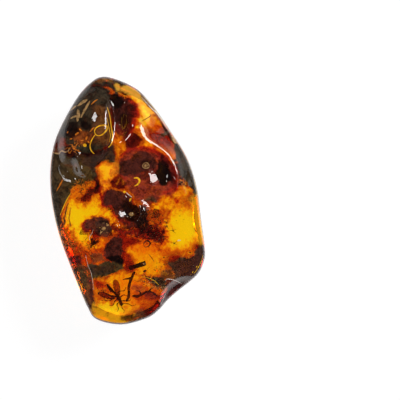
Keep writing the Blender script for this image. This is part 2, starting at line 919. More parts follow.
def near_line(line: np.ndarray, x: np.ndarray, y: np.ndarray, reach: float) -> np.ndarray:
    """Return which places lie in the box round a line, widened on every side.

    Args:
        line: The line's points, one a row.
        x: Places across the pebble.
        y: Places along the pebble.
        reach: How much the box is widened.

    Returns:
        Whether each place is in the box.
    """
    low, high = line[:, :2].min(0) - reach, line[:, :2].max(0) + reach
    return (x > low[0]) & (x < high[0]) & (y > low[1]) & (y < high[1])


@dataclass(frozen=True)
class Patch:
    """A stained area of a flow, inside a smooth closed line through a few points.

    Soft is half the width of its edge, ragged is how far noise moves the edge, and halo is how
    far the red cloud round it reaches.
    """

    stain: Stain
    line: tuple[tuple[float, float], ...]
    soft: float = 0.3
    strength: float = 1.0
    ragged: float = 0.25
    halo: float = 0.7

    def cover(self, x: np.ndarray, y: np.ndarray, rough: np.ndarray) -> tuple[np.ndarray, np.ndarray]:
        """Return how far the patch and the red cloud round it cover each place, from 0 to 1.

        Args:
            x: Places across the pebble.
            y: Places along the pebble.
            rough: Noise at each place, which frays the edge.

        Returns:
            The cover of the patch and that of the cloud round it.
        """
        edge = smooth_curve(self.line, closed=True, steps=8)
        near = near_line(edge, x, y, self.soft + self.ragged + 3 * self.halo)
        cover, cloud = np.zeros(len(x)), np.zeros(len(x))
        px, py = x[near][:, None], y[near][:, None]
        away = np.hypot(px - edge[:, 0], py - edge[:, 1]).min(1)
        following = np.roll(edge, -1, 0)
        crosses = (edge[:, 1] > py) != (following[:, 1] > py)
        rise = np.where(following[:, 1] == edge[:, 1], 1e-9, following[:, 1] - edge[:, 1])
        meets = px < edge[:, 0] + (py - edge[:, 1]) * (following[:, 0] - edge[:, 0]) / rise
        inside = (crosses & meets).sum(1) % 2 == 1
        depth = np.where(inside, away, -away) + rough[near] * self.ragged
        share = np.clip(depth / (2 * self.soft) + 0.5, 0, 1)
        cover[near] = self.strength * share * share * (3 - 2 * share)
        if self.halo and self.stain.clouds:
            width = np.maximum(self.halo * (1 + HALO_SWAY * rough[near]), LEAST_HALO)
            outside = np.clip(-depth, 0, None) / width
            cloud[near] = self.stain.clouds * self.strength * np.exp(-(outside**HALO_FALL))
        return cover, cloud


@dataclass(frozen=True)
class Streak:
    """A stained line in a flow: x, y and half width at each point of its path."""

    stain: Stain
    path: tuple[tuple[float, float, float], ...]
    strength: float = 1.0
    halo: float = 0.0

    def cover(self, x: np.ndarray, y: np.ndarray, rough: np.ndarray) -> tuple[np.ndarray, np.ndarray]:
        """Return how far the streak and the red cloud round it cover each place, from 0 to 1.

        Args:
            x: Places across the pebble.
            y: Places along the pebble.
            rough: Noise at each place, which varies the width.

        Returns:
            The cover of the streak and that of the cloud round it.
        """
        line = smooth_curve(self.path)
        near = near_line(line, x, y, 3 * line[:, 2].max() + 3 * self.halo)
        cover, cloud = np.zeros(len(x)), np.zeros(len(x))
        away = np.hypot(x[near][:, None] - line[:, 0], y[near][:, None] - line[:, 1])
        nearest = away.argmin(1)
        width = np.maximum(line[nearest, 2] * (1 + STREAK_SWAY * rough[near]), LEAST_STREAK)
        cover[near] = self.strength * np.exp(-((away.min(1) / width) ** 2))
        if self.halo:
            outside = np.clip(away.min(1) - width, 0, None) / self.halo
            cloud[near] = self.stain.clouds * self.strength * np.exp(-(outside**HALO_FALL))
        return cover, cloud


SKIN_STAINS = (
    # the cap
    Patch(Stain.BROWN, ((-8.6, 19.2), (-7.6, 20.6), (-6.0, 22.0), (-4.0, 22.6), (-2.5, 22.3), (-2.9, 21.3),
        (-2.2, 20.2), (-3.2, 20.4), (-5.0, 20.8), (-7.0, 20.2))),
    Patch(Stain.LIT, ((-1.6, 19.9), (-0.4, 20.7), (1.4, 20.7), (2.5, 19.6), (3.4, 18.2), (4.9, 15.8),
        (5.2, 14.4), (4.2, 13.6), (3.2, 14.4), (2.6, 16.2), (1.9, 17.6), (0.6, 18.7), (-0.6, 19.4)), 0.4,
        0.8),
    Patch(Stain.OLIVE, ((-2.9, 21.4), (-2.6, 22.6), (1.2, 21.6), (0.9, 20.9), (-0.6, 20.5), (-1.8, 20.7)),
        0.2, 0.93, 0.25, 0.2),
    Streak(Stain.UMBER, ((-7.9, 19.9, 0.2), (-6.8, 20.6, 0.3), (-4.9, 21.0, 0.35), (-3.0, 20.8, 0.4),
        (-2.1, 19.9, 0.5), (-1.9, 19.2, 0.5))),
    Streak(Stain.TAN, ((-8.0, 19.8, 0.2), (-7.3, 20.3, 0.15)), 0.8),
    Patch(Stain.DUSK, ((-6.8, 21.0), (-5.6, 21.9), (-4.2, 22.3), (-3.2, 22.0), (-3.6, 21.3), (-5.4, 21.2)),
        0.3, 0.9),
    Patch(Stain.TAN, ((-4.4, 21.9), (-3.4, 22.2), (-2.7, 21.8), (-3.2, 21.3), (-4.0, 21.4)), 0.2, 0.8),
    Patch(Stain.LIT, ((-2.3, 20.7), (-1.7, 20.9), (-1.3, 20.3), (-1.6, 19.7), (-2.1, 20.0)), 0.15, 0.8),
    Streak(Stain.GOLD, ((-3.9, 21.9, 0.25), (-2.9, 21.5, 0.3)), 0.8),
    # the top hollow
    Patch(Stain.MAROON, ((-2.9, 16.5), (-2.5, 18.9), (-1.2, 18.6), (0.2, 17.9), (1.3, 16.9), (1.6, 15.5),
        (1.1, 13.5), (1.0, 12.0), (0.9, 10.4), (-0.2, 10.8), (-1.9, 12.0), (-2.4, 13.5), (-2.8, 15.5)),
        0.25, 0.96),
    Patch(Stain.NIGHT, ((-2.9, 18.9), (-1.2, 18.5), (-0.4, 17.3), (-1.3, 16.5), (-2.8, 16.3)), 0.3),
    Patch(Stain.CRIMSON, ((0.1, 10.9), (1.2, 12.3), (2.6, 11.0), (1.9, 9.6), (0.3, 9.0), (-0.1, 9.8)),
        0.25),
    Streak(Stain.GARNET, ((0.2, 18.1, 0.25), (1.4, 17.1, 0.4), (1.6, 15.4, 0.5), (1.3, 13.4, 0.5),
        (0.9, 12.2, 0.4), (0.4, 11.0, 0.3)), 0.9),
    Streak(Stain.GARNET, ((-1.9, 13.2, 0.3), (-1.0, 12.2, 0.5), (-0.3, 11.2, 0.3)), 0.7),
    Patch(Stain.CRIMSON, ((-0.4, 17.4), (1.0, 16.8), (1.4, 15.2), (0.9, 13.2), (0.2, 12.0), (-0.4, 13.2),
        (0.2, 14.8), (-0.3, 16.0)), 0.5, 0.7, 0.7),
    Patch(Stain.NIGHT, ((-2.4, 15.8), (-1.4, 15.9), (-1.0, 14.6), (-1.8, 13.6), (-2.3, 14.4)), 0.4, 0.6,
        0.7),
    Patch(Stain.NIGHT, ((-1.4, 15.6), (0.2, 16.2), (0.6, 14.6), (0.0, 13.2), (-1.0, 13.6)), 0.6, 0.8, 0.7),
    # the slope on the right, from the ridge to the edge
    Patch(Stain.ORANGE, ((4.2, 15.2), (5.3, 15.2), (7.4, 13.2), (6.6, 12.2), (4.6, 12.7), (3.8, 13.4)),
        0.4),
    Patch(Stain.EMBER, ((3.0, 12.3), (4.0, 12.7), (5.5, 12.3), (7.5, 12.5), (8.1, 10.5), (8.2, 9.6),
        (7.0, 9.3), (5.5, 9.9), (3.8, 11.2)), 0.25, 0.95),
    Patch(Stain.RED, ((3.6, 12.2), (5.4, 11.9), (7.4, 11.8), (7.9, 10.0), (6.6, 9.5), (5.0, 10.4)), 0.35,
        0.8),
    Patch(Stain.OLIVE, ((5.6, 11.7), (6.8, 12.4), (7.6, 12.7), (7.2, 11.9), (6.2, 11.4)), 0.12, 0.9),
    Streak(Stain.EMBER, ((5.2, 13.2, 0.2), (6.4, 13.0, 0.3), (7.2, 12.9, 0.2)), 0.9),
    Patch(Stain.MAROON, ((2.3, 19.5), (3.4, 19.0), (5.4, 16.5), (7.2, 14.2), (8.6, 12.3), (7.5, 12.9),
        (6.0, 14.5), (4.2, 16.3), (3.0, 17.7)), 0.2, 0.9),
    Patch(Stain.TAN, ((7.9, 11.9), (8.8, 11.8), (9.4, 10.4), (8.3, 10.1)), 0.15, 0.85),
    Patch(Stain.ORANGE, ((6.6, 9.4), (8.2, 9.4), (8.5, 7.4), (8.3, 6.4), (7.6, 7.9)), 0.15),
    # the dark right edge
    Patch(Stain.UMBER, ((8.4, 10.1), (9.8, 10.4), (11.4, 7.4), (12.5, 4.0), (13.2, 0.5), (13.4, -2.2),
        (12.6, -0.2), (11.9, 1.2), (10.3, 3.7), (9.0, 5.0), (8.6, 7.5)), 0.18),
    Streak(Stain.CRIMSON, ((8.7, 6.3, 0.15), (9.6, 7.0, 0.2)), 0.9),
    # the great hollow
    Patch(Stain.ROSE, ((-1.4, 7.0), (0.3, 9.0), (2.5, 9.5), (4.5, 9.0), (6.5, 7.8), (8.0, 6.3), (8.7, 4.6),
        (8.8, 2.6), (8.0, 1.0), (6.4, 1.0), (5.5, 0.2), (3.3, -0.9), (1.6, 0.7), (0.2, 2.3), (-1.2, 3.8),
        (-1.6, 5.2)), 0.25),
    Streak(Stain.EMBER, ((1.6, 8.7, 0.25), (2.8, 9.3, 0.25), (3.9, 9.1, 0.2)), 0.9),
    Patch(Stain.MAROON, ((-1.3, 6.9), (0.6, 7.5), (1.8, 8.8), (3.5, 8.9), (4.8, 7.8), (5.3, 6.4),
        (3.8, 5.3), (1.5, 4.6), (-0.6, 4.5), (-1.4, 5.4)), 0.2),
    Patch(Stain.NIGHT, ((5.9, 7.5), (7.2, 7.4), (7.8, 6.0), (8.5, 4.6), (8.6, 3.6), (7.8, 3.3), (7.0, 2.6),
        (6.0, 2.9), (5.3, 4.0), (5.1, 5.0), (5.5, 6.3)), 0.2),
    Streak(Stain.GARNET, ((-1.2, 7.9, 0.3), (0.2, 9.0, 0.4), (2.3, 9.5, 0.4), (4.6, 9.2, 0.5),
        (6.1, 8.2, 0.5), (7.6, 7.0, 0.3)), 0.9),
    Streak(Stain.GARNET, ((8.1, 6.2, 0.25), (8.7, 4.4, 0.35), (8.6, 2.4, 0.45), (7.6, 1.6, 0.4),
        (6.4, 1.4, 0.3)), 0.85),
    Streak(Stain.GARNET, ((-1.6, 5.9, 0.25), (-1.4, 4.6, 0.3), (-0.4, 3.9, 0.25)), 0.8),
    Streak(Stain.RED, ((2.6, 4.9, 0.25), (4.4, 5.3, 0.3), (5.2, 5.0, 0.2)), 0.8),
    Streak(Stain.UMBER, ((3.4, 0.3, 0.4), (4.4, 0.5, 0.5), (5.2, 0.0, 0.3)), 0.8),
    # the dark left side
    Patch(Stain.OLIVE, ((-14.2, 8.2), (-12.0, 8.5), (-10.6, 8.0), (-9.8, 6.0), (-9.6, 4.6), (-7.8, 3.9),
        (-7.4, 3.1), (-9.4, 2.6), (-10.0, 1.0), (-11.0, -0.9), (-11.8, -2.4), (-12.4, -3.4), (-13.2, -4.0),
        (-14.2, 2.0)), 0.22),
    Streak(Stain.ORANGE, ((-12.6, 1.8, 0.12), (-12.0, 2.6, 0.16), (-11.3, 3.7, 0.12))),
    Patch(Stain.EMBER, ((-13.5, 10.0), (-12.6, 12.3), (-11.4, 11.5), (-10.4, 10.1), (-10.1, 9.0),
        (-11.5, 8.6), (-13.4, 8.6)), 0.25, 0.85),
    Patch(Stain.BROWN, ((-13.2, 9.4), (-12.0, 9.6), (-10.8, 9.9), (-10.4, 9.2), (-11.6, 8.8), (-13.2, 8.7)),
        0.2, 0.8),
    # the shoulder
    Patch(Stain.UMBER, ((-12.2, 12.6), (-10.6, 15.9), (-8.8, 18.9), (-6.8, 20.2), (-5.0, 20.5),
        (-3.6, 20.1), (-3.0, 19.4), (-3.1, 17.0), (-3.0, 15.5), (-2.8, 13.0), (-2.6, 11.0), (-2.8, 9.8),
        (-4.0, 9.6), (-7.0, 8.4), (-9.8, 9.6), (-11.0, 11.0)), 0.2, 0.97),
    Patch(Stain.BROWN, ((-6.0, 16.8), (-4.4, 16.9), (-3.4, 16.0), (-3.1, 13.0), (-2.9, 10.4), (-4.4, 9.8),
        (-6.6, 10.2), (-8.4, 10.2), (-8.6, 12.0), (-6.6, 12.4), (-5.9, 14.0)), 0.5, 0.85),
    Patch(Stain.DUSK, ((-5.4, 16.4), (-4.2, 16.6), (-3.3, 15.4), (-3.0, 12.6), (-3.2, 10.6), (-4.6, 10.4),
        (-5.2, 12.0), (-4.8, 14.0)), 0.5, 0.7),
    Patch(Stain.RUST, ((-9.4, 12.6), (-7.4, 12.7), (-5.8, 11.6), (-6.2, 10.4), (-8.0, 10.0), (-9.6, 11.0)),
        0.4, 0.75, 1.0),
    Patch(Stain.NIGHT, ((-11.6, 12.4), (-9.4, 14.2), (-8.4, 13.0), (-8.9, 11.4), (-10.6, 11.2)), 0.4, 0.9),
    Patch(Stain.NIGHT, ((-8.0, 14.2), (-6.4, 13.8), (-6.0, 12.8), (-6.8, 12.4), (-7.9, 13.0)), 0.25, 0.9),
    Streak(Stain.NIGHT, ((-9.4, 17.6, 0.12), (-8.0, 19.1, 0.16), (-6.5, 20.0, 0.16), (-5.1, 20.25, 0.16),
        (-3.9, 19.8, 0.16), (-3.2, 18.6, 0.16), (-2.75, 16.1, 0.14), (-2.6, 13.3, 0.12),
        (-2.5, 11.0, 0.12)), 0.85),
    # the band with the sliver of bark
    Patch(Stain.SLATE, ((-9.6, 9.4), (-6.8, 8.0), (-3.0, 9.7), (-2.1, 9.8), (-2.0, 7.5), (-2.4, 6.8),
        (-4.5, 7.1), (-5.4, 6.5), (-5.4, 4.4), (-6.6, 4.8), (-8.0, 6.8), (-9.0, 8.2)), 0.2, 0.95),
    Streak(Stain.CRIMSON, ((-6.9, 8.0, 0.2), (-5.0, 8.4, 0.2), (-3.2, 9.3, 0.15)), 0.8),
    # the orange column between the hollows
    Patch(Stain.ORANGE, ((-2.3, 11.8), (-1.2, 11.6), (-0.3, 10.9), (-0.2, 9.7), (-0.9, 8.3), (-1.6, 7.2),
        (-2.0, 7.6), (-1.9, 9.2)), 0.2),
    Streak(Stain.RED, ((-2.2, 9.3, 0.2), (-2.0, 8.2, 0.2)), 0.8),
    # the window under it
    Patch(Stain.GOLD, ((-4.9, 6.4), (-3.4, 6.7), (-1.6, 6.9), (-1.3, 5.5), (-1.6, 4.6), (-2.9, 3.3),
        (-3.9, 1.6), (-4.4, 2.4), (-4.8, 4.3), (-5.2, 5.5)), 0.2),
    Streak(Stain.EMBER, ((-5.2, 6.2, 0.3), (-4.6, 6.9, 0.3), (-3.2, 7.2, 0.3)), 0.9),
    # the side pit
    Patch(Stain.OLIVE, ((-10.8, 7.6), (-8.6, 7.6), (-7.4, 6.4), (-6.0, 5.4), (-5.4, 4.4), (-6.4, 3.6),
        (-8.6, 3.6), (-10.2, 4.2)), 0.3, 0.93),
    Patch(Stain.BROWN, ((-10.9, 6.6), (-10.0, 7.1), (-8.8, 6.8), (-8.6, 6.3), (-9.8, 6.0)), 0.2, 0.7),
    # under the side pit
    Patch(Stain.EMBER, ((-9.6, 2.6), (-8.0, 3.4), (-5.9, 4.0), (-5.6, 2.8), (-6.0, 2.0), (-7.6, 1.0),
        (-9.0, 0.2), (-10.0, 0.8)), 0.35, 0.55),
    Patch(Stain.CRIMSON, ((-8.3, 0.3), (-7.0, 1.7), (-5.8, 2.8), (-5.4, 4.3), (-4.7, 3.4), (-4.8, 1.6),
        (-5.9, 0.9), (-6.7, 0.1), (-7.4, -0.4)), 0.3, 0.95),
    Streak(Stain.NIGHT, ((-5.6, 3.9, 0.2), (-5.1, 3.0, 0.3), (-5.8, 1.9, 0.25)), 0.8),
    Streak(Stain.RED, ((-4.7, 2.4, 0.3), (-4.6, 1.0, 0.3), (-4.3, -0.8, 0.2))),
    Patch(Stain.CRIMSON, ((-2.8, 3.2), (-1.5, 4.6), (-0.3, 3.2), (-0.2, 2.2), (-1.8, 2.0)), 0.3, 0.9),
    Streak(Stain.ORANGE, ((-1.6, 3.0, 0.2), (-1.1, 4.1, 0.15), (-0.4, 3.0, 0.25)), 0.8),
    # the low hollow
    Patch(Stain.MAROON, ((-4.1, 1.4), (-3.2, 2.0), (-1.8, 1.9), (-0.2, 1.4), (1.2, 0.4), (1.7, -0.7),
        (3.0, -1.0), (3.5, -2.6), (2.8, -4.2), (0.6, -4.5), (-1.0, -3.9), (-1.9, -2.3), (-2.6, -0.9),
        (-4.0, -1.1), (-4.4, 0.0)), 0.2),
    Patch(Stain.NIGHT, ((-0.4, 0.4), (1.4, -0.4), (3.0, -1.2), (3.5, -2.8), (2.6, -4.0), (0.6, -4.0),
        (-0.6, -2.8), (-0.9, -1.0)), 0.35, 0.9),
    Streak(Stain.GARNET, ((-3.6, 1.8, 0.15), (-4.3, 0.4, 0.3), (-4.0, -0.9, 0.25), (-2.9, -0.9, 0.2),
        (-2.0, -2.6, 0.2), (-1.0, -3.7, 0.2), (0.6, -4.1, 0.2)), 0.85),
    Streak(Stain.RED, ((1.2, 0.4, 0.25), (1.5, -0.5, 0.25)), 0.9),
    # the debris under it
    Patch(Stain.HEARTH, ((-2.6, -3.9), (-1.4, -4.3), (0.4, -4.6), (2.4, -4.1), (3.6, -3.4), (5.0, -4.8),
        (6.3, -5.2), (6.5, -6.8), (5.9, -7.6), (4.6, -7.2), (3.4, -6.9), (1.9, -6.9), (0.5, -6.0),
        (-1.4, -5.9), (-2.7, -5.2)), 0.25, 0.92, 0.9),
    Patch(Stain.EMBER, ((3.4, -1.6), (5.2, -1.6), (7.8, -1.6), (7.0, -3.2), (5.9, -4.9), (4.6, -4.8),
        (3.7, -3.5)), 0.25, 0.9, 0.7),
    Patch(Stain.CRIMSON, ((1.6, -4.4), (3.0, -4.0), (4.0, -4.8), (4.6, -5.6), (5.6, -5.9), (4.9, -6.6),
        (3.4, -6.0), (2.2, -5.6)), 0.25, 0.97, 0.8),
    Patch(Stain.RED, ((-1.4, -6.0), (1.6, -6.7), (1.2, -7.6), (-0.1, -8.7), (0.8, -9.8), (1.2, -11.6),
        (1.0, -12.7), (-0.3, -12.3), (-0.7, -10.5), (-1.1, -8.0)), 0.2, 0.95),
    Streak(Stain.GARNET, ((-1.2, -5.4, 0.4), (1.6, -5.6, 0.4), (3.6, -6.4, 0.35), (5.2, -7.0, 0.3)), 0.6),
    Patch(Stain.NIGHT, ((2.2, -3.6), (3.4, -3.2), (3.9, -4.4), (3.0, -5.2), (2.0, -4.6)), 0.4, 0.85, 0.9),
    Patch(Stain.CRIMSON, ((4.0, -4.8), (5.4, -4.6), (6.4, -5.6), (5.8, -7.0), (4.4, -6.6)), 0.35, 0.7, 0.9),
    # the kidney and round it
    Patch(Stain.PLUM, ((-7.9, -4.5), (-7.3, -3.5), (-6.0, -3.0), (-4.0, -2.9), (-2.8, -4.1), (-2.8, -5.7),
        (-3.6, -6.4), (-4.9, -6.2), (-5.7, -5.3), (-6.5, -5.1), (-7.0, -5.4), (-7.6, -5.2)), 0.14, 0.96,
        0.15, 0.25),
    Streak(Stain.GARNET, ((-7.2, -3.6, 0.12), (-7.7, -4.3, 0.22), (-7.5, -5.0, 0.22), (-6.9, -5.3, 0.2),
        (-6.3, -5.1, 0.14), (-5.4, -5.5, 0.12)), 0.9),
    Patch(Stain.SLATE, ((-5.2, -3.6), (-4.0, -3.2), (-3.0, -4.4), (-3.1, -5.8), (-4.4, -6.0), (-5.2, -5.0)),
        0.3, 0.75, 0.5),
    Patch(Stain.RED, ((-5.9, -5.2), (-4.8, -5.7), (-4.8, -6.8), (-5.6, -7.0), (-6.1, -6.2)), 0.25, 0.8),
    # the flow's layers on the left
    Streak(Stain.ORANGE, ((-10.0, 1.0, 0.12), (-10.9, -0.6, 0.14), (-11.6, -2.3, 0.14))),
    Streak(Stain.UMBER, ((-10.3, -0.4, 0.12), (-10.9, -2.0, 0.2), (-11.1, -4.0, 0.22)), 0.9),
    Streak(Stain.EMBER, ((-11.7, -2.4, 0.2), (-11.7, -4.2, 0.25), (-11.2, -6.0, 0.3)), 0.9),
    Streak(Stain.UMBER, ((-9.9, -1.2, 0.06), (-10.1, -2.6, 0.1), (-10.1, -4.4, 0.12)), 0.85),
    # the lower left
    Patch(Stain.EMBER, ((-12.4, -4.9), (-9.8, -5.0), (-9.4, -6.3), (-8.6, -7.4), (-7.4, -8.6), (-4.4, -8.8),
        (-3.8, -10.2), (-6.0, -11.3), (-7.6, -11.5), (-9.9, -11.8), (-11.0, -9.8)), 0.3, 0.9, 0.8),
    Patch(Stain.MAROON, ((-10.6, -9.8), (-9.0, -9.6), (-7.9, -10.4), (-8.4, -11.8), (-10.0, -11.9)), 0.3,
        0.85, 0.8),
    Patch(Stain.BROWN, ((-12.4, -5.2), (-11.2, -6.0), (-9.6, -7.4), (-9.2, -8.4), (-11.2, -8.9)), 0.3, 0.7),
    Patch(Stain.BROWN, ((-6.2, -9.4), (-4.6, -9.3), (-3.9, -10.4), (-5.0, -10.9), (-6.4, -10.4)), 0.25, 0.8,
        0.8),
    Patch(Stain.MAROON, ((-3.9, -8.3), (-2.5, -6.5), (-0.9, -6.6), (-0.6, -7.6), (-0.9, -8.7), (-0.8, -9.8),
        (-2.2, -9.8), (-3.6, -10.2)), 0.3, 0.95),
    Patch(Stain.OLIVE, ((-6.9, -11.4), (-5.0, -11.1), (-3.6, -10.6), (-1.0, -11.2), (-0.7, -11.9),
        (-1.5, -12.5), (-3.5, -13.2), (-5.9, -13.9), (-6.3, -12.6)), 0.1, 1.0, 0.25),
    Patch(Stain.SLATE, ((-6.6, -11.8), (-4.4, -11.5), (-1.8, -11.7), (-2.6, -12.6), (-4.6, -13.2),
        (-6.0, -13.0)), 0.35, 0.85, 0.3),
    Patch(Stain.NIGHT, ((-3.6, -10.0), (-2.0, -9.6), (-0.9, -9.8), (-0.6, -11.5), (-1.8, -11.0),
        (-3.0, -10.6)), 0.18),
    Patch(Stain.BROWN, ((-10.0, -11.6), (-8.0, -11.4), (-6.8, -11.6), (-6.1, -13.8), (-5.9, -16.0),
        (-5.6, -19.0), (-5.1, -21.1), (-6.6, -21.0), (-7.5, -19.3), (-9.0, -15.2)), 0.12, 0.95, 0.25),
    Patch(Stain.OLIVE, ((-9.7, -12.2), (-7.8, -12.0), (-7.0, -14.0), (-7.4, -16.0), (-8.6, -16.0),
        (-9.4, -14.0)), 0.35, 0.8),
    Streak(Stain.MAROON, ((-6.4, -14.0, 0.35), (-6.2, -16.5, 0.35), (-6.0, -18.5, 0.25)), 0.8),
    Streak(Stain.GOLD, ((-8.6, -14.4, 0.07), (-8.1, -15.0, 0.08), (-7.9, -15.9, 0.08), (-8.2, -16.6, 0.06)),
        0.9),
    # the rim on the left and the foot
    Patch(Stain.UMBER, ((-14.6, 3.0), (-12.6, 2.0), (-11.7, -1.0), (-11.5, -3.4), (-10.9, -6.2),
        (-10.2, -8.6), (-11.6, -9.8), (-13.6, -6.0), (-14.8, 0.0)), 0.25, 0.93),
    Patch(Stain.MAROON, ((-11.9, -8.2), (-9.9, -9.0), (-9.4, -10.8), (-10.2, -12.2), (-11.8, -11.6)), 0.3,
        0.85),
    Patch(Stain.BARK, ((-11.6, -10.6), (-9.2, -11.6), (-8.0, -14.0), (-7.4, -16.8), (-6.4, -19.4),
        (-5.9, -21.0), (-7.4, -22.4), (-10.2, -16.6)), 0.3, 0.8),
    # round the insect
    Patch(Stain.EMBER, ((-5.7, -13.9), (-4.4, -13.6), (-3.2, -14.6), (-2.4, -16.4), (-1.2, -17.4),
        (-1.8, -18.2), (-4.0, -17.9), (-5.7, -17.4)), 0.4, 0.75, 0.8),
    Patch(Stain.RED, ((-5.5, -14.2), (-4.2, -14.1), (-4.0, -15.0), (-5.3, -15.3)), 0.4, 0.6),
    Patch(Stain.ORANGE, ((-2.6, -13.4), (-0.4, -12.4), (1.8, -12.8), (2.6, -14.6), (2.0, -16.4),
        (0.6, -19.0), (-1.2, -18.6), (-1.4, -16.6)), 0.5, 0.6),
    Patch(Stain.BROWN, ((0.9, -15.0), (2.6, -14.9), (3.4, -15.7), (2.4, -16.2), (1.0, -15.9)), 0.3, 0.55),
    Patch(Stain.EMBER, ((0.9, -16.9), (3.2, -16.2), (4.6, -16.2), (6.0, -16.9), (6.4, -17.4), (4.6, -18.2),
        (2.2, -17.6)), 0.25, 0.9),
    Patch(Stain.MAROON, ((3.0, -16.4), (4.6, -16.2), (6.0, -17.0), (4.6, -17.6), (3.2, -17.2)), 0.3, 0.55),
    # the foot
    Patch(Stain.HONEY, ((-6.1, -18.6), (-5.2, -19.0), (-3.6, -19.6), (-1.2, -20.0), (1.4, -20.2),
        (2.6, -20.6), (1.6, -21.8), (0.2, -22.3), (-1.6, -22.6), (-4.4, -22.1), (-6.0, -21.2)), 0.7, 0.8,
        0.6),
    Patch(Stain.RED, ((-0.9, -20.5), (0.4, -20.1), (1.4, -20.4), (1.6, -21.2), (0.2, -21.6), (-0.9, -21.2)),
        0.25, 0.9),
    Patch(Stain.EMBER, ((1.4, -19.6), (3.0, -18.1), (5.8, -18.2), (6.4, -18.9), (4.4, -20.8), (1.8, -22.0),
        (1.5, -20.8)), 0.3, 0.85),
    Patch(Stain.BROWN, ((1.4, -19.8), (2.6, -19.2), (3.2, -20.2), (2.4, -21.4), (1.6, -21.2)), 0.3, 0.6),
    # the lower right
    Patch(Stain.ORANGE, ((0.9, -9.3), (3.0, -7.4), (6.4, -8.2), (9.0, -8.9), (12.0, -8.4), (9.0, -9.4),
        (7.2, -10.4), (6.8, -12.0), (6.0, -13.2), (3.4, -13.0), (1.5, -11.4)), 0.4, 0.75),
    Patch(Stain.EMBER, ((6.0, -8.6), (9.0, -8.9), (12.4, -8.0), (12.0, -9.4), (8.6, -10.0), (6.2, -9.6)),
        0.3, 0.7),
    Patch(Stain.BARK, ((7.3, -10.8), (9.0, -10.1), (11.5, -9.9), (12.5, -8.2), (14.2, -7.4), (14.3, -10.0),
        (13.2, -12.8), (11.6, -14.4), (9.9, -15.2), (8.4, -14.3), (8.5, -13.0), (8.1, -12.2), (7.5, -11.6)),
        0.2),
    Patch(Stain.MAROON, ((8.4, -10.9), (10.4, -10.4), (12.6, -9.4), (12.8, -11.4), (11.2, -13.2),
        (9.4, -13.4), (8.8, -12.2)), 0.5, 0.65),
    Patch(Stain.RED, ((7.4, -10.3), (8.6, -9.6), (9.4, -9.8), (8.8, -10.5), (7.8, -11.0)), 0.2, 0.9),
    Patch(Stain.RED, ((12.0, -8.0), (13.0, -7.2), (13.7, -7.0), (13.2, -8.0), (12.4, -8.5)), 0.15, 0.9),
    Patch(Stain.BROWN, ((5.8, -12.6), (6.8, -12.1), (8.0, -12.3), (8.7, -13.3), (8.0, -14.0), (6.2, -13.7)),
        0.25, 0.85),
    Patch(Stain.UMBER, ((2.6, -13.2), (4.2, -13.5), (5.5, -13.6), (6.9, -14.0), (6.8, -15.6), (5.4, -15.3),
        (4.3, -14.5), (3.4, -13.9)), 0.2, 0.95, 0.6),
    Patch(Stain.MAROON, ((6.9, -14.2), (7.3, -13.9), (8.4, -14.1), (9.9, -14.9), (10.7, -15.1),
        (8.8, -17.2), (7.0, -18.9), (6.0, -19.6), (6.1, -18.3), (6.6, -17.2), (7.0, -16.0)), 0.12, 0.95),
    # the right edge of the yellow window
    Patch(Stain.EMBER, ((10.2, 0.6), (11.4, 1.2), (12.8, 0.4), (13.2, -1.6), (11.9, -1.9), (10.4, -0.8)),
        0.3, 0.85),
    Patch(Stain.BROWN, ((10.8, 0.9), (12.2, 0.9), (12.0, -0.1), (11.0, -0.1)), 0.2, 0.7),
    Patch(Stain.ORANGE, ((6.0, 0.4), (8.6, 1.0), (9.6, 4.0), (11.4, 1.2), (10.2, -1.2), (8.6, -1.6),
        (6.4, -1.2)), 0.35, 0.6),
    Patch(Stain.RED, ((8.4, 0.4), (9.2, 0.3), (9.3, -0.3), (8.6, -0.4)), 0.3, 0.7),
    Patch(Stain.HONEY, ((11.5, 0.4), (12.5, 0.8), (13.4, -1.6), (13.9, -4.4), (14.1, -6.8), (12.9, -7.6),
        (12.1, -5.0), (11.6, -2.4)), 0.6, 0.75, 0.3),
    Streak(Stain.ORANGE, ((-6.2, -21.9, 0.15), (-3.0, -22.5, 0.18), (0.6, -22.6, 0.2)), 0.7),
)

DEEP_STAINS = (
    Patch(Stain.BROWN, ((-13.5, 8.0), (-10.0, 17.0), (-5.0, 20.5), (-3.0, 17.0), (-3.4, 10.5), (-9.0, 8.0)),
        1.2, 0.7),
    Patch(Stain.EMBER, ((-13.5, 2.0), (-12.0, 8.0), (-10.0, 4.0), (-11.0, -3.0), (-12.8, -3.0)), 0.8, 0.8),
    Patch(Stain.ORANGE, ((3.0, 13.0), (7.0, 12.5), (9.5, 9.0), (11.0, 3.0), (8.0, 6.0), (5.0, 10.5)), 1.0,
        0.7),
    Patch(Stain.ORANGE, ((-9.5, -8.0), (-3.0, -7.0), (0.0, -10.0), (-4.0, -12.0), (-9.5, -12.0)), 1.0, 0.7),
    Patch(Stain.ORANGE, ((0.0, -5.0), (6.0, -4.0), (6.5, -8.0), (2.0, -9.0), (-2.0, -7.0)), 1.0, 0.7),
    Patch(Stain.ORANGE, ((-3.5, -15.0), (1.0, -13.0), (6.0, -14.0), (5.0, -19.0), (0.0, -18.0)), 1.2, 0.55),
)


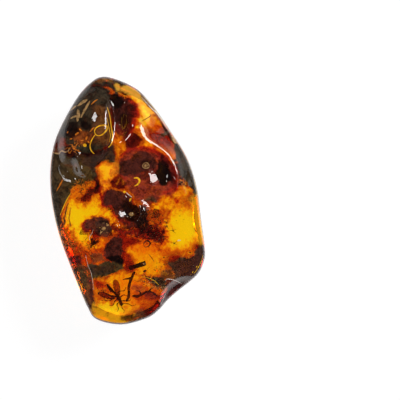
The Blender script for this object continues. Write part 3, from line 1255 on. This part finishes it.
@dataclass
class StainedFlow:
    """One flow inside the amber: a thin sheet with the colours of what stained it.

    It lies at a level between back and front, or else a little below the surface that parts
    the two flows. Onset says how soon red, green and blue are lost towards a stain's middle.
    """

    name: str
    stains: tuple
    groups: Groups
    level: float | None = None
    sunk: float = 0.9
    rings: int = 150
    segments: int = 520
    most: float = 0.99
    onset: Colour = (1.8, 1.0, 0.8)
    cloud_onset: Colour = (3.0, 1.5, 1.0)
    cloud_density: Colour = (1.0, 2.3, 1.0)
    most_cloud: float = 0.95
    warp: float = 0.22
    warp_scale: float = 0.9
    rough_scale: float = 1.3
    seed: float = 0.0

    def paint(self, points: np.ndarray) -> tuple[np.ndarray, np.ndarray]:
        """Work out the sheet's colours.

        Args:
            points: The sheet's points.

        Returns:
            What each point lets through, and what it throws back.
        """
        offset = Vector((self.seed, 0, 0))
        flat = [Vector((point[0], point[1], 0)) + offset for point in points]
        bends = np.array([noise.noise_vector(place * self.warp_scale) for place in flat])
        rough = np.array([noise.fractal(place * self.rough_scale, 0.6, 2.1, 4) for place in flat])
        x, y = points[:, 0] + bends[:, 0] * self.warp, points[:, 1] + bends[:, 1] * self.warp
        density, thrown = np.zeros((len(points), 3)), np.zeros((len(points), 3))
        clear = np.ones(len(points))
        for stain in self.stains:
            cover, cloud = stain.cover(x, y, rough)
            clear *= 1 - np.clip(cloud, 0, self.most_cloud)
            cover = cover[:, None]
            density += (-np.log(stain.stain.passed) - density) * cover ** np.array(self.onset)
            thrown += (stain.stain.thrown - thrown) * cover
        cloudy = (1 - clear)[:, None] ** np.array(self.cloud_onset) * np.array(self.cloud_density)
        return np.exp(-np.maximum(density, cloudy)), thrown

    def build(self) -> bpy.types.Object:
        """Build the sheet.

        Returns:
            The new object, with its colours as attributes of its points.
        """
        shares, angles, faces = disc(self.rings, self.segments)
        reach = FORM.outline_reach(angles) * shares * self.most
        x, y = reach * np.cos(angles), reach * np.sin(angles)
        laid = FORM.on_flow(x, y, self.sunk) if self.level is None else FORM.inside(x, y, self.level)
        stock = MeshStock()
        stock.add(laid, faces)
        piece = stock.build(self.name, StainFinish(self.name, self.groups).build(), "amber")
        passed, thrown = self.paint(laid)
        for label, colours in (("passed", passed**2), ("thrown", thrown)):
            held = piece.data.attributes.new(label, "FLOAT_COLOR", "POINT")
            held.data.foreach_set("color", np.column_stack((colours, np.ones(len(colours)))).ravel())
        return piece


# --- What the resin caught ----------------------------------------------------------------------


@dataclass(frozen=True)
class Thread:
    """A thin line near the front: x, y and radius at each point of its path."""

    path: tuple[tuple[float, float, float], ...]
    depth: float = 0.45

    def add_to(self, stock: MeshStock) -> None:
        """Add the line to a mesh."""
        line = smooth_curve(self.path, steps=8)
        stock.add(*tube(FORM.near_front(line[:, 0], line[:, 1], self.depth), line[:, 2]))


@dataclass(frozen=True)
class Ring:
    """The outline of a flattened bubble, wavy, and thicker on one side."""

    x: float
    y: float
    half_length: float
    half_width: float
    turn: float
    radius: float
    heavy: float = 0.4
    depth: float = 0.45

    def add_to(self, stock: MeshStock) -> None:
        """Add the ring to a mesh.

        Args:
            stock: The mesh.
        """
        angles = np.linspace(0, FULL_TURN, 49)
        wobble = 1 + 0.06 * np.sin(3 * angles + self.x)
        x, y = turned(self.half_length * np.cos(angles) * wobble,
                      self.half_width * np.sin(angles) * wobble, self.turn)
        radii = self.radius * (1 + self.heavy * np.cos(angles))
        stock.add(*tube(FORM.near_front(self.x + x, self.y + y, self.depth), radii))


@dataclass(frozen=True)
class Bead:
    """A small nodule near the front."""

    x: float
    y: float
    half_size: tuple[float, float, float]
    turn: float = 0.0
    rough: float = 0.2
    depth: float = 0.6
    grain: float = 2.3
    detail: int = 4

    def add_to(self, stock: MeshStock) -> None:
        """Add the nodule to a mesh.

        Args:
            stock: The mesh.
        """
        points, faces = ball(self.detail)
        at = Vector((self.x, self.y, 0))
        lumps = [noise.fractal(Vector(point) * self.grain + at, 0.7, 2.1, 4) for point in points]
        points = points * (1 + self.rough * np.array(lumps))[:, None] * self.half_size
        x, y = turned(points[:, 0], points[:, 1], self.turn)
        middle = FORM.near_front(self.x, self.y, self.depth)[0]
        stock.add(np.column_stack((x, y, points[:, 2])) + middle, faces)


@dataclass(frozen=True)
class Leaf:
    """A thin flake near the front, with a torn outline."""

    line: tuple[tuple[float, float], ...]
    depth: float = 0.5
    thickness: float = 0.05
    torn: float = 0.09
    rings: tuple[float, ...] = (1.0, 0.6, 0.25)

    def add_to(self, stock: MeshStock) -> None:
        """Add the flake to a mesh, as two bowed sides that meet at its edge.

        Args:
            stock: The mesh.
        """
        edge = smooth_curve(self.line, closed=True, steps=6)
        for corner in edge:
            corner += np.array(noise.noise_vector(Vector((*corner, 0)) * 4))[:2] * self.torn
        middle, count = edge.mean(0), len(edge)
        points, faces = [], []
        for side in (1, -1):
            low = len(points) * count
            for share in self.rings:
                ring = middle + (edge - middle) * share
                laid = FORM.near_front(ring[:, 0], ring[:, 1], self.depth)
                laid[:, 2] += side * self.thickness * (1 - share**2)
                points.append(laid)
            for _ in self.rings[1:]:
                faces += band(low, low + count, count)
                low += count
            faces.append(tuple(low + step for step in range(count)))
        stock.add(np.vstack(points), faces)


@dataclass(frozen=True)
class Tangle:
    """Many short hairs, rootlets and specks that lie round one place near the front."""

    x: float
    y: float
    half_length: float
    half_width: float
    turn: float
    count: int
    length: float = 0.8
    radius: float = 0.035
    seed: int = 0
    depth: float = 0.6
    corners: int = 6

    def add_to(self, stock: MeshStock) -> None:
        """Add the hairs to a mesh.

        Args:
            stock: The mesh.
        """
        dice = random.Random(self.seed)
        for _ in range(self.count):
            angle, away = dice.uniform(0, FULL_TURN), math.sqrt(dice.random())
            along, across = turned(self.half_length * away * math.cos(angle),
                                   self.half_width * away * math.sin(angle), self.turn)
            x, y = self.x + along, self.y + across
            heading, curl = dice.uniform(0, FULL_TURN), dice.gauss(0, 0.7)
            step = self.length * dice.uniform(0.25, 1.2) / (self.corners - 1)
            path = []
            for _ in range(self.corners):
                path.append((x, y))
                x, y = x + step * math.cos(heading), y + step * math.sin(heading)
                heading += curl * dice.uniform(0.2, 1.0)
            line = np.array(path)
            radii = self.radius * dice.uniform(0.5, 1.5) * np.linspace(1.2, 0.5, self.corners)
            stock.add(*tube(FORM.near_front(line[:, 0], line[:, 1], self.depth), radii, 5))


@dataclass(frozen=True)
class Star:
    """A stellate plant hair: a few rays from one point."""

    x: float
    y: float
    reach: float
    rays: tuple[float, ...]
    radius: float = 0.06
    depth: float = 0.6

    def add_to(self, stock: MeshStock) -> None:
        """Add the rays to a mesh, every other one shorter, and each curved a little.

        Args:
            stock: The mesh.
        """
        shares = np.linspace(0, 1, 6)
        for number, ray in enumerate(self.rays):
            angle, length = math.radians(ray), self.reach * (1 - 0.3 * (number % 2))
            x = self.x + length * shares * np.cos(angle + 0.25 * shares)
            y = self.y + length * shares * np.sin(angle + 0.25 * shares)
            stock.add(*tube(FORM.near_front(x, y, self.depth), self.radius * (1.2 - shares), 5))


GOLD_LINES = (
    Ring(-4.55, 12.5, 1.15, 0.78, 35, 0.1),
    Thread(((-5.4, 11.8, 0.06), (-6.0, 10.9, 0.09), (-6.35, 9.9, 0.1), (-6.2, 9.0, 0.09),
        (-5.6, 8.3, 0.05))),
    Thread(((-3.5, 16.6, 0.05), (-3.05, 15.0, 0.1), (-2.8, 13.0, 0.14), (-2.55, 11.5, 0.15),
        (-2.7, 10.2, 0.1), (-3.3, 9.5, 0.05))),
    Thread(((-3.5, 14.6, 0.03), (-3.2, 13.0, 0.06), (-2.95, 11.6, 0.07), (-3.1, 10.4, 0.04))),
    Bead(-7.3, 9.85, (0.3, 0.28, 0.12), 0, 0.1),
    Thread(((1.3, 4.05, 0.1), (1.95, 4.05, 0.17), (2.3, 3.6, 0.18), (2.05, 3.0, 0.15), (1.4, 2.6, 0.08))),
    Bead(-0.3, 1.6, (0.22, 0.16, 0.1)),
    Bead(0.7, 0.3, (0.26, 0.14, 0.1), 60),
    Thread(((-9.9, 1.4, 0.04), (-10.6, 0.3, 0.08), (-11.2, -1.0, 0.09), (-11.9, -2.6, 0.05))),
    Thread(((-10.3, -1.0, 0.03), (-10.75, -2.5, 0.07), (-10.7, -4.0, 0.04))),
    Thread(((-8.9, -14.2, 0.03), (-8.2, -14.9, 0.06), (-7.9, -15.9, 0.07), (-8.3, -16.9, 0.04))),
    Thread(((-9.3, -13.6, 0.02), (-8.9, -14.9, 0.05), (-8.8, -16.1, 0.03))),
    Thread(((2.6, -13.4, 0.02), (3.6, -13.6, 0.04), (4.8, -14.1, 0.05), (5.7, -15.0, 0.03))),
    Thread(((11.9, -13.0, 0.02), (12.6, -12.0, 0.05), (13.2, -10.8, 0.05), (13.5, -9.6, 0.02)), 0.3),
    Bead(12.3, -11.7, (0.26, 0.12, 0.07), 40),
    Bead(11.7, -12.5, (0.3, 0.1, 0.07), 70),
    Bead(11.3, -13.0, (0.14, 0.1, 0.06), 20),
)
ORANGE_FLECKS = (
    Thread(((-12.5, 1.8, 0.05), (-12.0, 2.7, 0.13), (-11.3, 3.9, 0.06))),
    Bead(-13.3, 6.4, (0.14, 0.12, 0.08)),
    Thread(((-9.6, 10.0, 0.04), (-9.4, 9.3, 0.1), (-8.8, 9.1, 0.1), (-8.2, 8.6, 0.05))),
    Thread(((-6.2, 17.1, 0.05), (-5.7, 17.6, 0.12), (-5.1, 18.0, 0.05))),
    Thread(((-6.4, 12.2, 0.05), (-6.0, 12.7, 0.12), (-5.6, 13.1, 0.05))),
    Thread(((1.8, -13.9, 0.03), (2.8, -14.2, 0.08), (3.9, -15.0, 0.1), (5.4, -15.6, 0.04))),
    Thread(((6.4, -11.0, 0.02), (6.1, -12.0, 0.04), (6.4, -13.0, 0.02))),
    Bead(-10.4, 12.2, (0.2, 0.1, 0.08), 60),
    Bead(-7.8, 10.7, (0.3, 0.1, 0.08), 10),
    Bead(-6.6, 10.4, (0.22, 0.12, 0.08), -20),
    Bead(-8.7, 11.9, (0.4, 0.16, 0.08), 30),
    Bead(-8.1, 12.6, (0.3, 0.12, 0.08), -40),
    Bead(-7.0, 11.1, (0.35, 0.14, 0.08), 70),
    Bead(-9.8, 11.0, (0.25, 0.1, 0.08), 10),
    Tangle(-9.0, 9.6, 1.6, 0.7, 20, 26, 0.7, 0.04, seed=3),
    Tangle(-9.0, 2.2, 2.0, 1.2, 60, 26, 0.9, 0.03, seed=4),
    Tangle(-8.6, -8.6, 3.0, 1.4, -20, 30, 0.9, 0.03, seed=5),
    Bead(-10.6, -9.7, (0.16, 0.08, 0.06)),
    Bead(-9.4, -9.6, (0.12, 0.07, 0.06)),
)
TAN_FLAKES = (
    Leaf(((-8.75, 16.2), (-8.35, 16.1), (-8.2, 15.2), (-8.5, 14.2), (-8.8, 14.2), (-8.7, 14.9),
        (-9.9, 14.6), (-9.8, 14.9), (-8.8, 15.4))),
    Leaf(((-8.1, 14.9), (-7.8, 15.0), (-6.5, 17.4), (-6.7, 17.6), (-7.5, 16.3))),
    Leaf(((-8.7, 16.9), (-8.0, 17.7), (-7.0, 18.0), (-7.3, 17.5), (-8.2, 17.0))),
    Leaf(((-10.3, 15.9), (-9.6, 16.6), (-8.8, 17.0), (-9.4, 16.4))),
    Bead(0.9, -2.4, (0.5, 0.36, 0.2), 20, 0.35),
    Bead(3.4, 6.3, (0.3, 0.28, 0.15), 0, 0.3),
    Ring(3.4, 6.3, 0.55, 0.5, 0, 0.07, 0.3),
    Bead(-4.0, -4.9, (0.34, 0.24, 0.2), 40, 0.4),
    Bead(-3.3, -4.3, (0.2, 0.14, 0.1), 10, 0.4),
    Bead(-4.5, -5.6, (0.24, 0.12, 0.1), 60, 0.4),
    Thread(((-13.2, 8.7, 0.06), (-12.5, 8.5, 0.13), (-12.0, 8.5, 0.12), (-11.5, 8.95, 0.13),
        (-10.9, 8.7, 0.12), (-10.3, 8.9, 0.1), (-10.0, 9.3, 0.05))),
    Bead(3.1, -11.1, (0.22, 0.16, 0.12), 0, 0.2),
    Leaf(((8.1, 11.7), (8.8, 11.7), (9.3, 10.5), (8.5, 10.3), (8.0, 11.0)), 0.4),
    Tangle(-3.9, -4.8, 1.0, 0.9, 30, 14, 0.35, 0.04, seed=8),
    Tangle(5.4, -15.3, 2.4, 0.8, -30, 22, 1.0, 0.035, seed=9),
)
PALE_LINES = (
    Thread(((2.6, 18.5, 0.03), (4.4, 16.5, 0.1), (5.8, 15.3, 0.09), (8.2, 12.7, 0.05)), 0.12),
    Thread(((-7.3, -9.6, 0.02), (-6.9, -11.4, 0.035), (-6.4, -12.6, 0.04), (-6.1, -13.9, 0.035),
        (-5.9, -16.0, 0.02)), 0.15),
    Thread(((6.9, -14.2, 0.03), (7.2, -13.9, 0.06), (8.4, -14.1, 0.06), (9.9, -14.9, 0.03)), 0.12),
    Thread(((6.0, -18.6, 0.03), (6.6, -17.2, 0.05), (7.0, -16.2, 0.03)), 0.12),
    Thread(((-5.9, -5.0, 0.015), (-6.1, -5.7, 0.035), (-6.5, -6.3, 0.03), (-6.6, -7.1, 0.015)), 0.2),
    Thread(((0.0, 1.5, 0.04), (0.5, 1.05, 0.09), (1.0, 0.7, 0.04)), 0.15),
    Bead(4.5, 5.2, (0.14, 0.09, 0.05), 40, 0.1, 0.15),
    Bead(0.15, -2.8, (0.1, 0.08, 0.05), 0, 0.1, 0.15),
    Bead(9.3, -7.0, (0.3, 0.1, 0.04), 10, 0.2, 0.3),
)
DARK_SPECKS = (
    Star(8.2, -5.2, 0.75, (10, 95, 175, 265, 300), 0.05),
    Star(8.4, -7.5, 0.6, (25, 80, 150, 250, 330), 0.05),
    Bead(6.6, -10.0, (0.16, 0.13, 0.1)),
    Bead(6.6, -11.2, (0.14, 0.12, 0.1)),
    Bead(11.2, -9.1, (0.16, 0.13, 0.1)),
    Bead(3.2, -12.4, (0.3, 0.2, 0.14), 20),
    Thread(((2.6, 14.1, 0.03), (3.3, 14.5, 0.07), (4.1, 15.1, 0.07), (4.2, 15.8, 0.03))),
    Thread(((3.9, -9.4, 0.03), (4.4, -10.0, 0.06), (4.9, -10.8, 0.03))),
    Ring(3.6, -7.6, 0.6, 0.5, 40, 0.1, 0.5),
    Tangle(4.4, -3.4, 3.0, 1.6, -20, 90, 0.9, 0.045, seed=11),
    Tangle(5.4, -6.6, 1.5, 1.0, 0, 50, 0.8, 0.045, seed=12),
    Tangle(0.6, -5.6, 3.0, 0.9, -5, 60, 0.8, 0.04, seed=13),
    Tangle(-6.3, -7.2, 1.4, 1.2, 0, 34, 0.7, 0.035, seed=14),
    Tangle(-8.8, -8.8, 3.0, 1.3, -20, 70, 0.8, 0.04, seed=15),
    Tangle(-4.2, -16.0, 2.0, 1.2, 130, 36, 0.9, 0.03, seed=16),
    Tangle(4.6, -14.6, 2.6, 1.2, -20, 60, 1.0, 0.04, seed=17),
    Tangle(5.6, -11.6, 2.2, 1.2, 20, 22, 0.7, 0.03, seed=18),
    Tangle(4.4, 11.6, 2.4, 0.9, -20, 30, 0.8, 0.035, seed=19),
    Tangle(10.0, -2.0, 2.2, 1.6, 80, 16, 0.5, 0.025, seed=20),
    Tangle(-7.8, 2.0, 2.0, 1.4, 40, 50, 0.9, 0.04, seed=21),
    Tangle(10.4, -11.6, 2.4, 1.6, 40, 50, 0.9, 0.035, seed=22),
)


@dataclass(frozen=True)
class Flecks:
    """Fine things of one kind that lie near the front, as one mesh."""

    name: str
    slot: str
    things: tuple
    finish: SolidFinish

    def build(self, groups: Groups) -> bpy.types.Object:
        """Build the mesh.

        Args:
            groups: The shared node groups.

        Returns:
            The new object.
        """
        stock = MeshStock()
        for thing in self.things:
            thing.add_to(stock)
        return stock.build(self.name, self.finish.build(groups), self.slot)


FLECKS = (
    Flecks("gold_lines", "flake", GOLD_LINES,
           SolidFinish("gold_film", (0.45, 0.2, 0.004), (0.85, 0.45, 0.01), 1800.0, 0.45, 0.5,
                       0.00002, 0.75)),
    Flecks("orange_flecks", "flake", ORANGE_FLECKS,
           SolidFinish("orange_film", (0.25, 0.05, 0.004), (0.6, 0.17, 0.012), 1800.0, 0.45, 0.5,
                       0.00002, 0.7)),
    Flecks("tan_flakes", "flake", TAN_FLAKES,
           SolidFinish("tan_scale", (0.12, 0.06, 0.03), (0.5, 0.3, 0.15), 2200.0, 0.45, 0.6,
                       0.00004, 0.5)),
    Flecks("pale_lines", "flake", PALE_LINES,
           SolidFinish("pale_film", (0.45, 0.36, 0.32), (0.75, 0.68, 0.64), 1500.0, 0.45, 0.4,
                       0.00001, 0.6)),
    Flecks("dark_specks", "debris", DARK_SPECKS,
           SolidFinish("dark_grit", (0.006, 0.002, 0.001), (0.06, 0.012, 0.006), 2000.0, 0.5, 0.6,
                       0.00003, 0.5)),
)


@dataclass(frozen=True)
class Insect:
    """An insect seen from above, its head towards its own -X and its tail towards +X.

    The body is a chain of x, y and radius. A limb is the body point that it grows from, its
    radius there, and its joints. A wing is its root, half length, half width and turn.
    """

    name: str
    x: float
    y: float
    turn: float
    body: tuple[tuple[float, float, float], ...]
    limbs: tuple[tuple[int, float, tuple[tuple[float, float], ...]], ...]
    wings: tuple[tuple[float, float, float, float, float], ...]
    hairs: int
    wing_lift: float = 0.1
    limb_droop: float = 0.1
    hair: float = 0.02
    veins: tuple[float, ...] = (-1.0, -0.55, -0.15, 0.3, 0.65, 1.0)

    def laid(self, points: np.ndarray) -> np.ndarray:
        """Move points from the insect's own frame to where it lies in the amber."""
        x, y = turned(points[:, 0], points[:, 1], self.turn)
        return np.column_stack((x, y, points[:, 2])) + FORM.seen(self.x, self.y)

    def add_tube(self, stock: MeshStock, path: np.ndarray, radii: np.ndarray, sides: int = 8) -> None:
        """Add a tube given in the insect's own frame."""
        stock.add(*tube(self.laid(path), radii, sides))

    def add_body(self, stock: MeshStock) -> None:
        """Add the body, ringed like an abdomen, with its eyes and hairs.

        Args:
            stock: The mesh.
        """
        line = smooth_curve(self.body, steps=10)
        path = np.column_stack((line[:, :2], np.zeros(len(line))))
        rings = np.abs(np.sin(np.arange(len(line)) * math.pi / 5))
        self.add_tube(stock, path, line[:, 2] * (0.9 + 0.16 * rings), 14)
        dice = random.Random(len(self.name))
        shares = np.linspace(0, 1, 4)[:, None]
        for _ in range(self.hairs):
            at = dice.randrange(len(line))
            angle = dice.uniform(0, FULL_TURN)
            reach = line[at, 2] * dice.uniform(1.4, 2.3)
            lean = dice.uniform(0.1, 0.5) * line[at, 2]
            away = np.array((0, math.cos(angle), math.sin(angle))) * reach
            hair = path[at] + shares * away + shares**2 * np.array((lean, 0, 0))
            self.add_tube(stock, hair, self.hair * (1.2 - shares[:, 0]), 4)
        points, faces = ball(2)
        head = self.body[0][2]
        for side in (-1, 1):
            eye = points * head * 0.55 + path[0] + np.array((-0.02, side * head * 0.8, 0.05))
            stock.add(self.laid(eye), faces)

    def add_limbs(self, stock: MeshStock) -> None:
        """Add the legs and feelers, thin and thickened at each joint.

        Args:
            stock: The mesh.
        """
        for start, radius, joints in self.limbs:
            corners = [(*self.body[start][:2], 0.0)]
            corners += [(x, y, -self.limb_droop * (number + 1)) for number, (x, y) in enumerate(joints)]
            line = smooth_curve(tuple(corners), steps=8)
            shares = np.linspace(0, 1, len(line))
            knees = 1 + 0.25 * np.cos(shares * len(joints) * FULL_TURN)
            self.add_tube(stock, line, radius * 0.85 * (1 - 0.55 * shares) * knees, 7)

    def wing_surface(self, wing: tuple, along: np.ndarray, across: np.ndarray) -> np.ndarray:
        """Lay places on a wing.

        Args:
            wing: The wing's root, half length, half width and turn.
            along: How far along the wing each place is, from -1 to 1.
            across: How far across the wing each place is, from -1 to 1.

        Returns:
            The points in the insect's own frame, one a row.
        """
        x, y, half_length, half_width, turn = wing
        wide = half_width * np.sqrt(np.clip(1 - along**2, 0, 1)) * (1 + 0.3 * along)
        u, v = turned(half_length * along, wide * across, turn)
        bow = 0.12 * half_width * (1 - across**2) + 0.03 * np.sin(9 * along + 4 * across)
        return np.column_stack((x + u, y + v, self.wing_lift + bow))

    def add_veins(self, stock: MeshStock) -> None:
        """Add the wings' veins and their front edges.

        Args:
            stock: The mesh.
        """
        along = np.linspace(-1, 1, 26)
        for wing in self.wings:
            for share in self.veins:
                path = self.wing_surface(wing, along, np.full(26, share))
                radii = np.linspace(0.05, 0.018, 26) * (1.3 if abs(share) == 1 else 1.0)
                self.add_tube(stock, path, radii, 5)

    def add_wings(self, stock: MeshStock) -> None:
        """Add the wings' membranes.

        Args:
            stock: The mesh.
        """
        rows, sides = 30, 9
        along, across = np.meshgrid(np.linspace(-1, 1, rows), np.linspace(-1, 1, sides), indexing="ij")
        corners = [row * sides + side for row in range(rows - 1) for side in range(sides - 1)]
        faces = [(at, at + 1, at + sides + 1, at + sides) for at in corners]
        for wing in self.wings:
            stock.add(self.laid(self.wing_surface(wing, along.ravel(), across.ravel())), faces)

    def build(self, groups: Groups) -> None:
        """Build the insect and the membranes of its wings.

        Args:
            groups: The shared node groups.
        """
        stock, wings = MeshStock(), MeshStock()
        for add in (self.add_body, self.add_limbs, self.add_veins):
            add(stock)
        self.add_wings(wings)
        stock.build(f"{self.name}_body", FINISHES["insect"].build(groups), "insect", (self.name,))
        wings.build(f"{self.name}_wings", MembraneFinish(f"{self.name}_wing").build(), "insect")


def both_sides(limbs: tuple) -> tuple:
    """Return limbs, and after them their mirror images on the other side of the body."""
    return limbs + tuple((start, radius, tuple((x, -y) for x, y in joints))
                         for start, radius, joints in limbs)


INSECT = Insect(
    name="insect", x=-1.53, y=-17.46, turn=123.0, hairs=90,
    body=((-1.3, 0.28, 0.2), (-1.0, 0.24, 0.3), (-0.5, 0.08, 0.24), (0.0, 0.0, 0.38),
          (0.5, 0.0, 0.26), (0.95, 0.02, 0.16), (1.6, 0.15, 0.26), (2.3, 0.28, 0.3),
          (2.8, 0.26, 0.2), (3.15, 0.2, 0.08)),
    limbs=(
        (3, 0.12, ((0.1, -0.6), (0.05, -1.1), (-0.45, -1.4))),
        (2, 0.12, ((-0.85, -0.5), (-1.25, -1.1), (-1.1, -1.6))),
        (4, 0.12, ((1.0, -0.75), (0.7, -1.5), (1.1, -2.1))),
        (4, 0.1, ((0.45, 1.35), (0.8, 2.1), (1.2, 2.7))),
        (3, 0.12, ((-0.1, 0.9), (-0.5, 1.5), (-0.2, 2.1))),
        (2, 0.12, ((-0.8, 0.9), (-1.5, 1.1), (-1.9, 1.6))),
        (1, 0.1, ((-1.7, -0.75), (-2.3, -1.05), (-2.5, -1.8))),
        (0, 0.09, ((-1.8, 0.55), (-2.3, 0.5), (-2.7, 0.85))),
        (4, 0.24, ((0.9, 0.7), (1.7, 1.2), (2.45, 1.6))),
    ),
    wings=((1.7, -0.75, 1.5, 0.5, -22.0), (1.35, 1.45, 1.35, 0.45, 38.0)),
)
GNAT = Insect(
    name="gnat", x=-6.3, y=-7.83, turn=65.0, hairs=30,
    body=((-0.5, 0.0, 0.13), (-0.3, 0.0, 0.12), (0.0, 0.0, 0.2), (0.3, 0.0, 0.16),
          (0.6, 0.0, 0.14), (0.85, 0.0, 0.1), (1.05, 0.0, 0.05)),
    limbs=both_sides((
        (1, 0.07, ((-0.2, 0.4), (-0.45, 0.7), (-0.5, 0.95))),
        (2, 0.07, ((0.05, 0.45), (0.2, 0.75), (0.1, 1.05))),
        (3, 0.07, ((0.4, 0.45), (0.75, 0.7), (1.0, 0.9))),
        (0, 0.06, ((-0.7, 0.15), (-0.85, 0.25))),
    )),
    wings=((0.45, 0.3, 0.55, 0.2, 30.0), (0.45, -0.3, 0.55, 0.2, -30.0)),
)


@dataclass(frozen=True)
class Lumps:
    """Caught pieces of one kind, made finely rough where each one lies."""

    name: str
    slot: str
    nodes: tuple[str, ...]
    cuts: int
    depth: float
    grain: float
    eases: int = 0

    def build(self, groups: Groups) -> bpy.types.Object:
        """Build one mesh for all of them, finer and rougher than the nodes it stands for.

        Args:
            groups: The shared node groups.

        Returns:
            The new object.
        """
        stock = MeshStock()
        for node in self.nodes:
            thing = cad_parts[node]
            shape = bmesh.new()
            shape.from_mesh(thing.data)
            shape.transform(thing.matrix_world)
            bmesh.ops.subdivide_edges(shape, edges=shape.edges[:], cuts=self.cuts, use_grid_fill=True)
            for _ in range(self.eases):
                bmesh.ops.smooth_vert(shape, verts=shape.verts, factor=0.5, use_axis_x=True,
                                      use_axis_y=True, use_axis_z=True)
            shape.normal_update()
            points = []
            for corner in shape.verts:
                place = corner.co / MM
                lump = noise.fractal(place * self.grain, 0.75, 2.1, 5)
                points.append(place + corner.normal * lump * self.depth)
            faces = [tuple(corner.index for corner in face.verts) for face in shape.faces]
            shape.free()
            stock.add(np.array(points), faces)
        return stock.build(self.name, FINISHES[self.slot].build(groups), self.slot, self.nodes)


LUMPS = (
    Lumps("crumbs", "debris", tuple(f"crumb_{place}" for place in (
        "top", "great", "wedge", "middle", "kidney", "low", "right", "hearth")), 3, 0.14, 1.6, 3),
    Lumps("twigs", "twig", ("twig_stem", "twig_branch"), 2, 0.06, 2.2),
    Lumps("splinter", "charred_wood", ("wood_splinter",), 5, 0.06, 2.4),
    Lumps("sliver", "bark", ("bark_sliver",), 5, 0.09, 1.8),
    Lumps("loose_flakes", "flake", ("flake_tan", "flake_straw"), 2, 0.05, 2.4),
)


# --- Studio ------------------------------------------------------------------------------------


@dataclass(frozen=True)
class SoftBox:
    """A square studio light that points at the pebble."""

    name: str
    place: tuple[float, float, float]
    side: float
    watts: float

    def build(self) -> None:
        """Hang the light."""
        light = bpy.data.lights.new(self.name, "AREA")
        light.energy, light.size = self.watts, self.side
        hung = bpy.data.objects.new(self.name, light)
        hung.location = self.place
        aim = Vector((0, 0, 0.01)) - hung.location
        hung.rotation_euler = aim.to_track_quat("-Z", "Y").to_euler()
        hung.visible_camera = False
        bpy.context.scene.collection.objects.link(hung)


@dataclass
class Studio:
    """A pale glowing table, four soft boxes, a dim room and the camera straight above."""

    boxes: tuple[SoftBox, ...] = (
        SoftBox("right_box", (0.46, 0.28, 0.34), 0.26, 3.0),
        SoftBox("top_box", (-0.35, 0.31, 0.44), 0.07, 0.2),
        SoftBox("left_box", (-0.44, 0.03, 0.32), 0.10, 0.3),
        SoftBox("wide_box", (0.52, 0.32, 0.30), 0.50, 0.5),
    )
    table_side: float = 3.0
    table_drop: float = 0.0002
    table_tone: float = 0.15
    table_glow: float = 0.95
    far_glow: float = 0.18
    glow_reach: tuple[float, float] = (0.055, 0.12)
    room: Colour = (0.04, 0.04, 0.045)
    lens: float = 200.0
    sensor: float = 36.0
    frame_width: float = 0.072
    aim: tuple[float, float, float] = (0.01305, 0.00018, 0.0085)

    def build_table(self) -> None:
        """Lay the table just under the pebble."""
        shape = bmesh.new()
        bmesh.ops.create_grid(shape, x_segments=1, y_segments=1, size=self.table_side / 2)
        mesh = bpy.data.meshes.new("table")
        shape.to_mesh(mesh)
        shape.free()
        material, kit, shader = new_material("table")
        away = kit.node("VectorMath", {0: kit.place()}, operation="LENGTH").outputs["Value"]
        glow = kit.remap(away, *self.glow_reach, self.table_glow, self.far_glow)
        grey = kit.node("CombineColor", {"Red": glow, "Green": glow, "Blue": glow})
        kit.fill(shader, {
            "Base Color": (*[self.table_tone] * 3, 1.0), "Roughness": 0.9,
            "Emission Color": grey.outputs["Color"], "Emission Strength": 1.0,
        })
        mesh.materials.append(material)
        table = bpy.data.objects.new("table", mesh)
        table.location.z = -self.table_drop
        bpy.context.scene.collection.objects.link(table)

    def build_room(self) -> None:
        """Give the room its dim even light."""
        world = bpy.data.worlds.new("room")
        world.use_nodes = True
        world.node_tree.nodes["Background"].inputs["Color"].default_value = (*self.room, 1.0)
        bpy.context.scene.world = world

    def build_camera(self) -> None:
        """Hang the camera straight over the pebble, framed a little to its right."""
        lens = bpy.data.cameras.new("camera")
        lens.lens, lens.sensor_width, lens.clip_start = self.lens, self.sensor, 0.01
        camera = bpy.data.objects.new("camera", lens)
        away = self.frame_width * self.lens / self.sensor
        camera.location = Vector(self.aim) + Vector((0, 0, away))
        bpy.context.scene.collection.objects.link(camera)
        bpy.context.scene.camera = camera

    def build(self) -> None:
        """Set up everything that isn't the object."""
        self.build_camera()
        self.build_table()
        self.build_room()
        for box in self.boxes:
            box.build()
        bpy.context.scene.view_settings.view_transform = "Standard"
        LOG.info("studio: %d soft boxes", len(self.boxes))


# --- Building ----------------------------------------------------------------------------------

def main() -> None:
    """Build the studio, the amber and all that lies in it."""
    logging.basicConfig(level=logging.INFO, format="%(message)s")
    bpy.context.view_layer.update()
    Studio().build()
    groups = Groups()
    AmberPebble().build()
    StainedFlow("flow_skin", SKIN_STAINS, groups, level=0.93).build()
    StainedFlow("flow_deep", DEEP_STAINS, groups, rings=60, segments=240, warp=0.5, seed=7.0).build()
    for flecks in FLECKS:
        flecks.build(groups)
    for lumps in LUMPS:
        lumps.build(groups)
    for insect in (INSECT, GNAT):
        insect.build(groups)


if __name__ == "__main__":
    main()
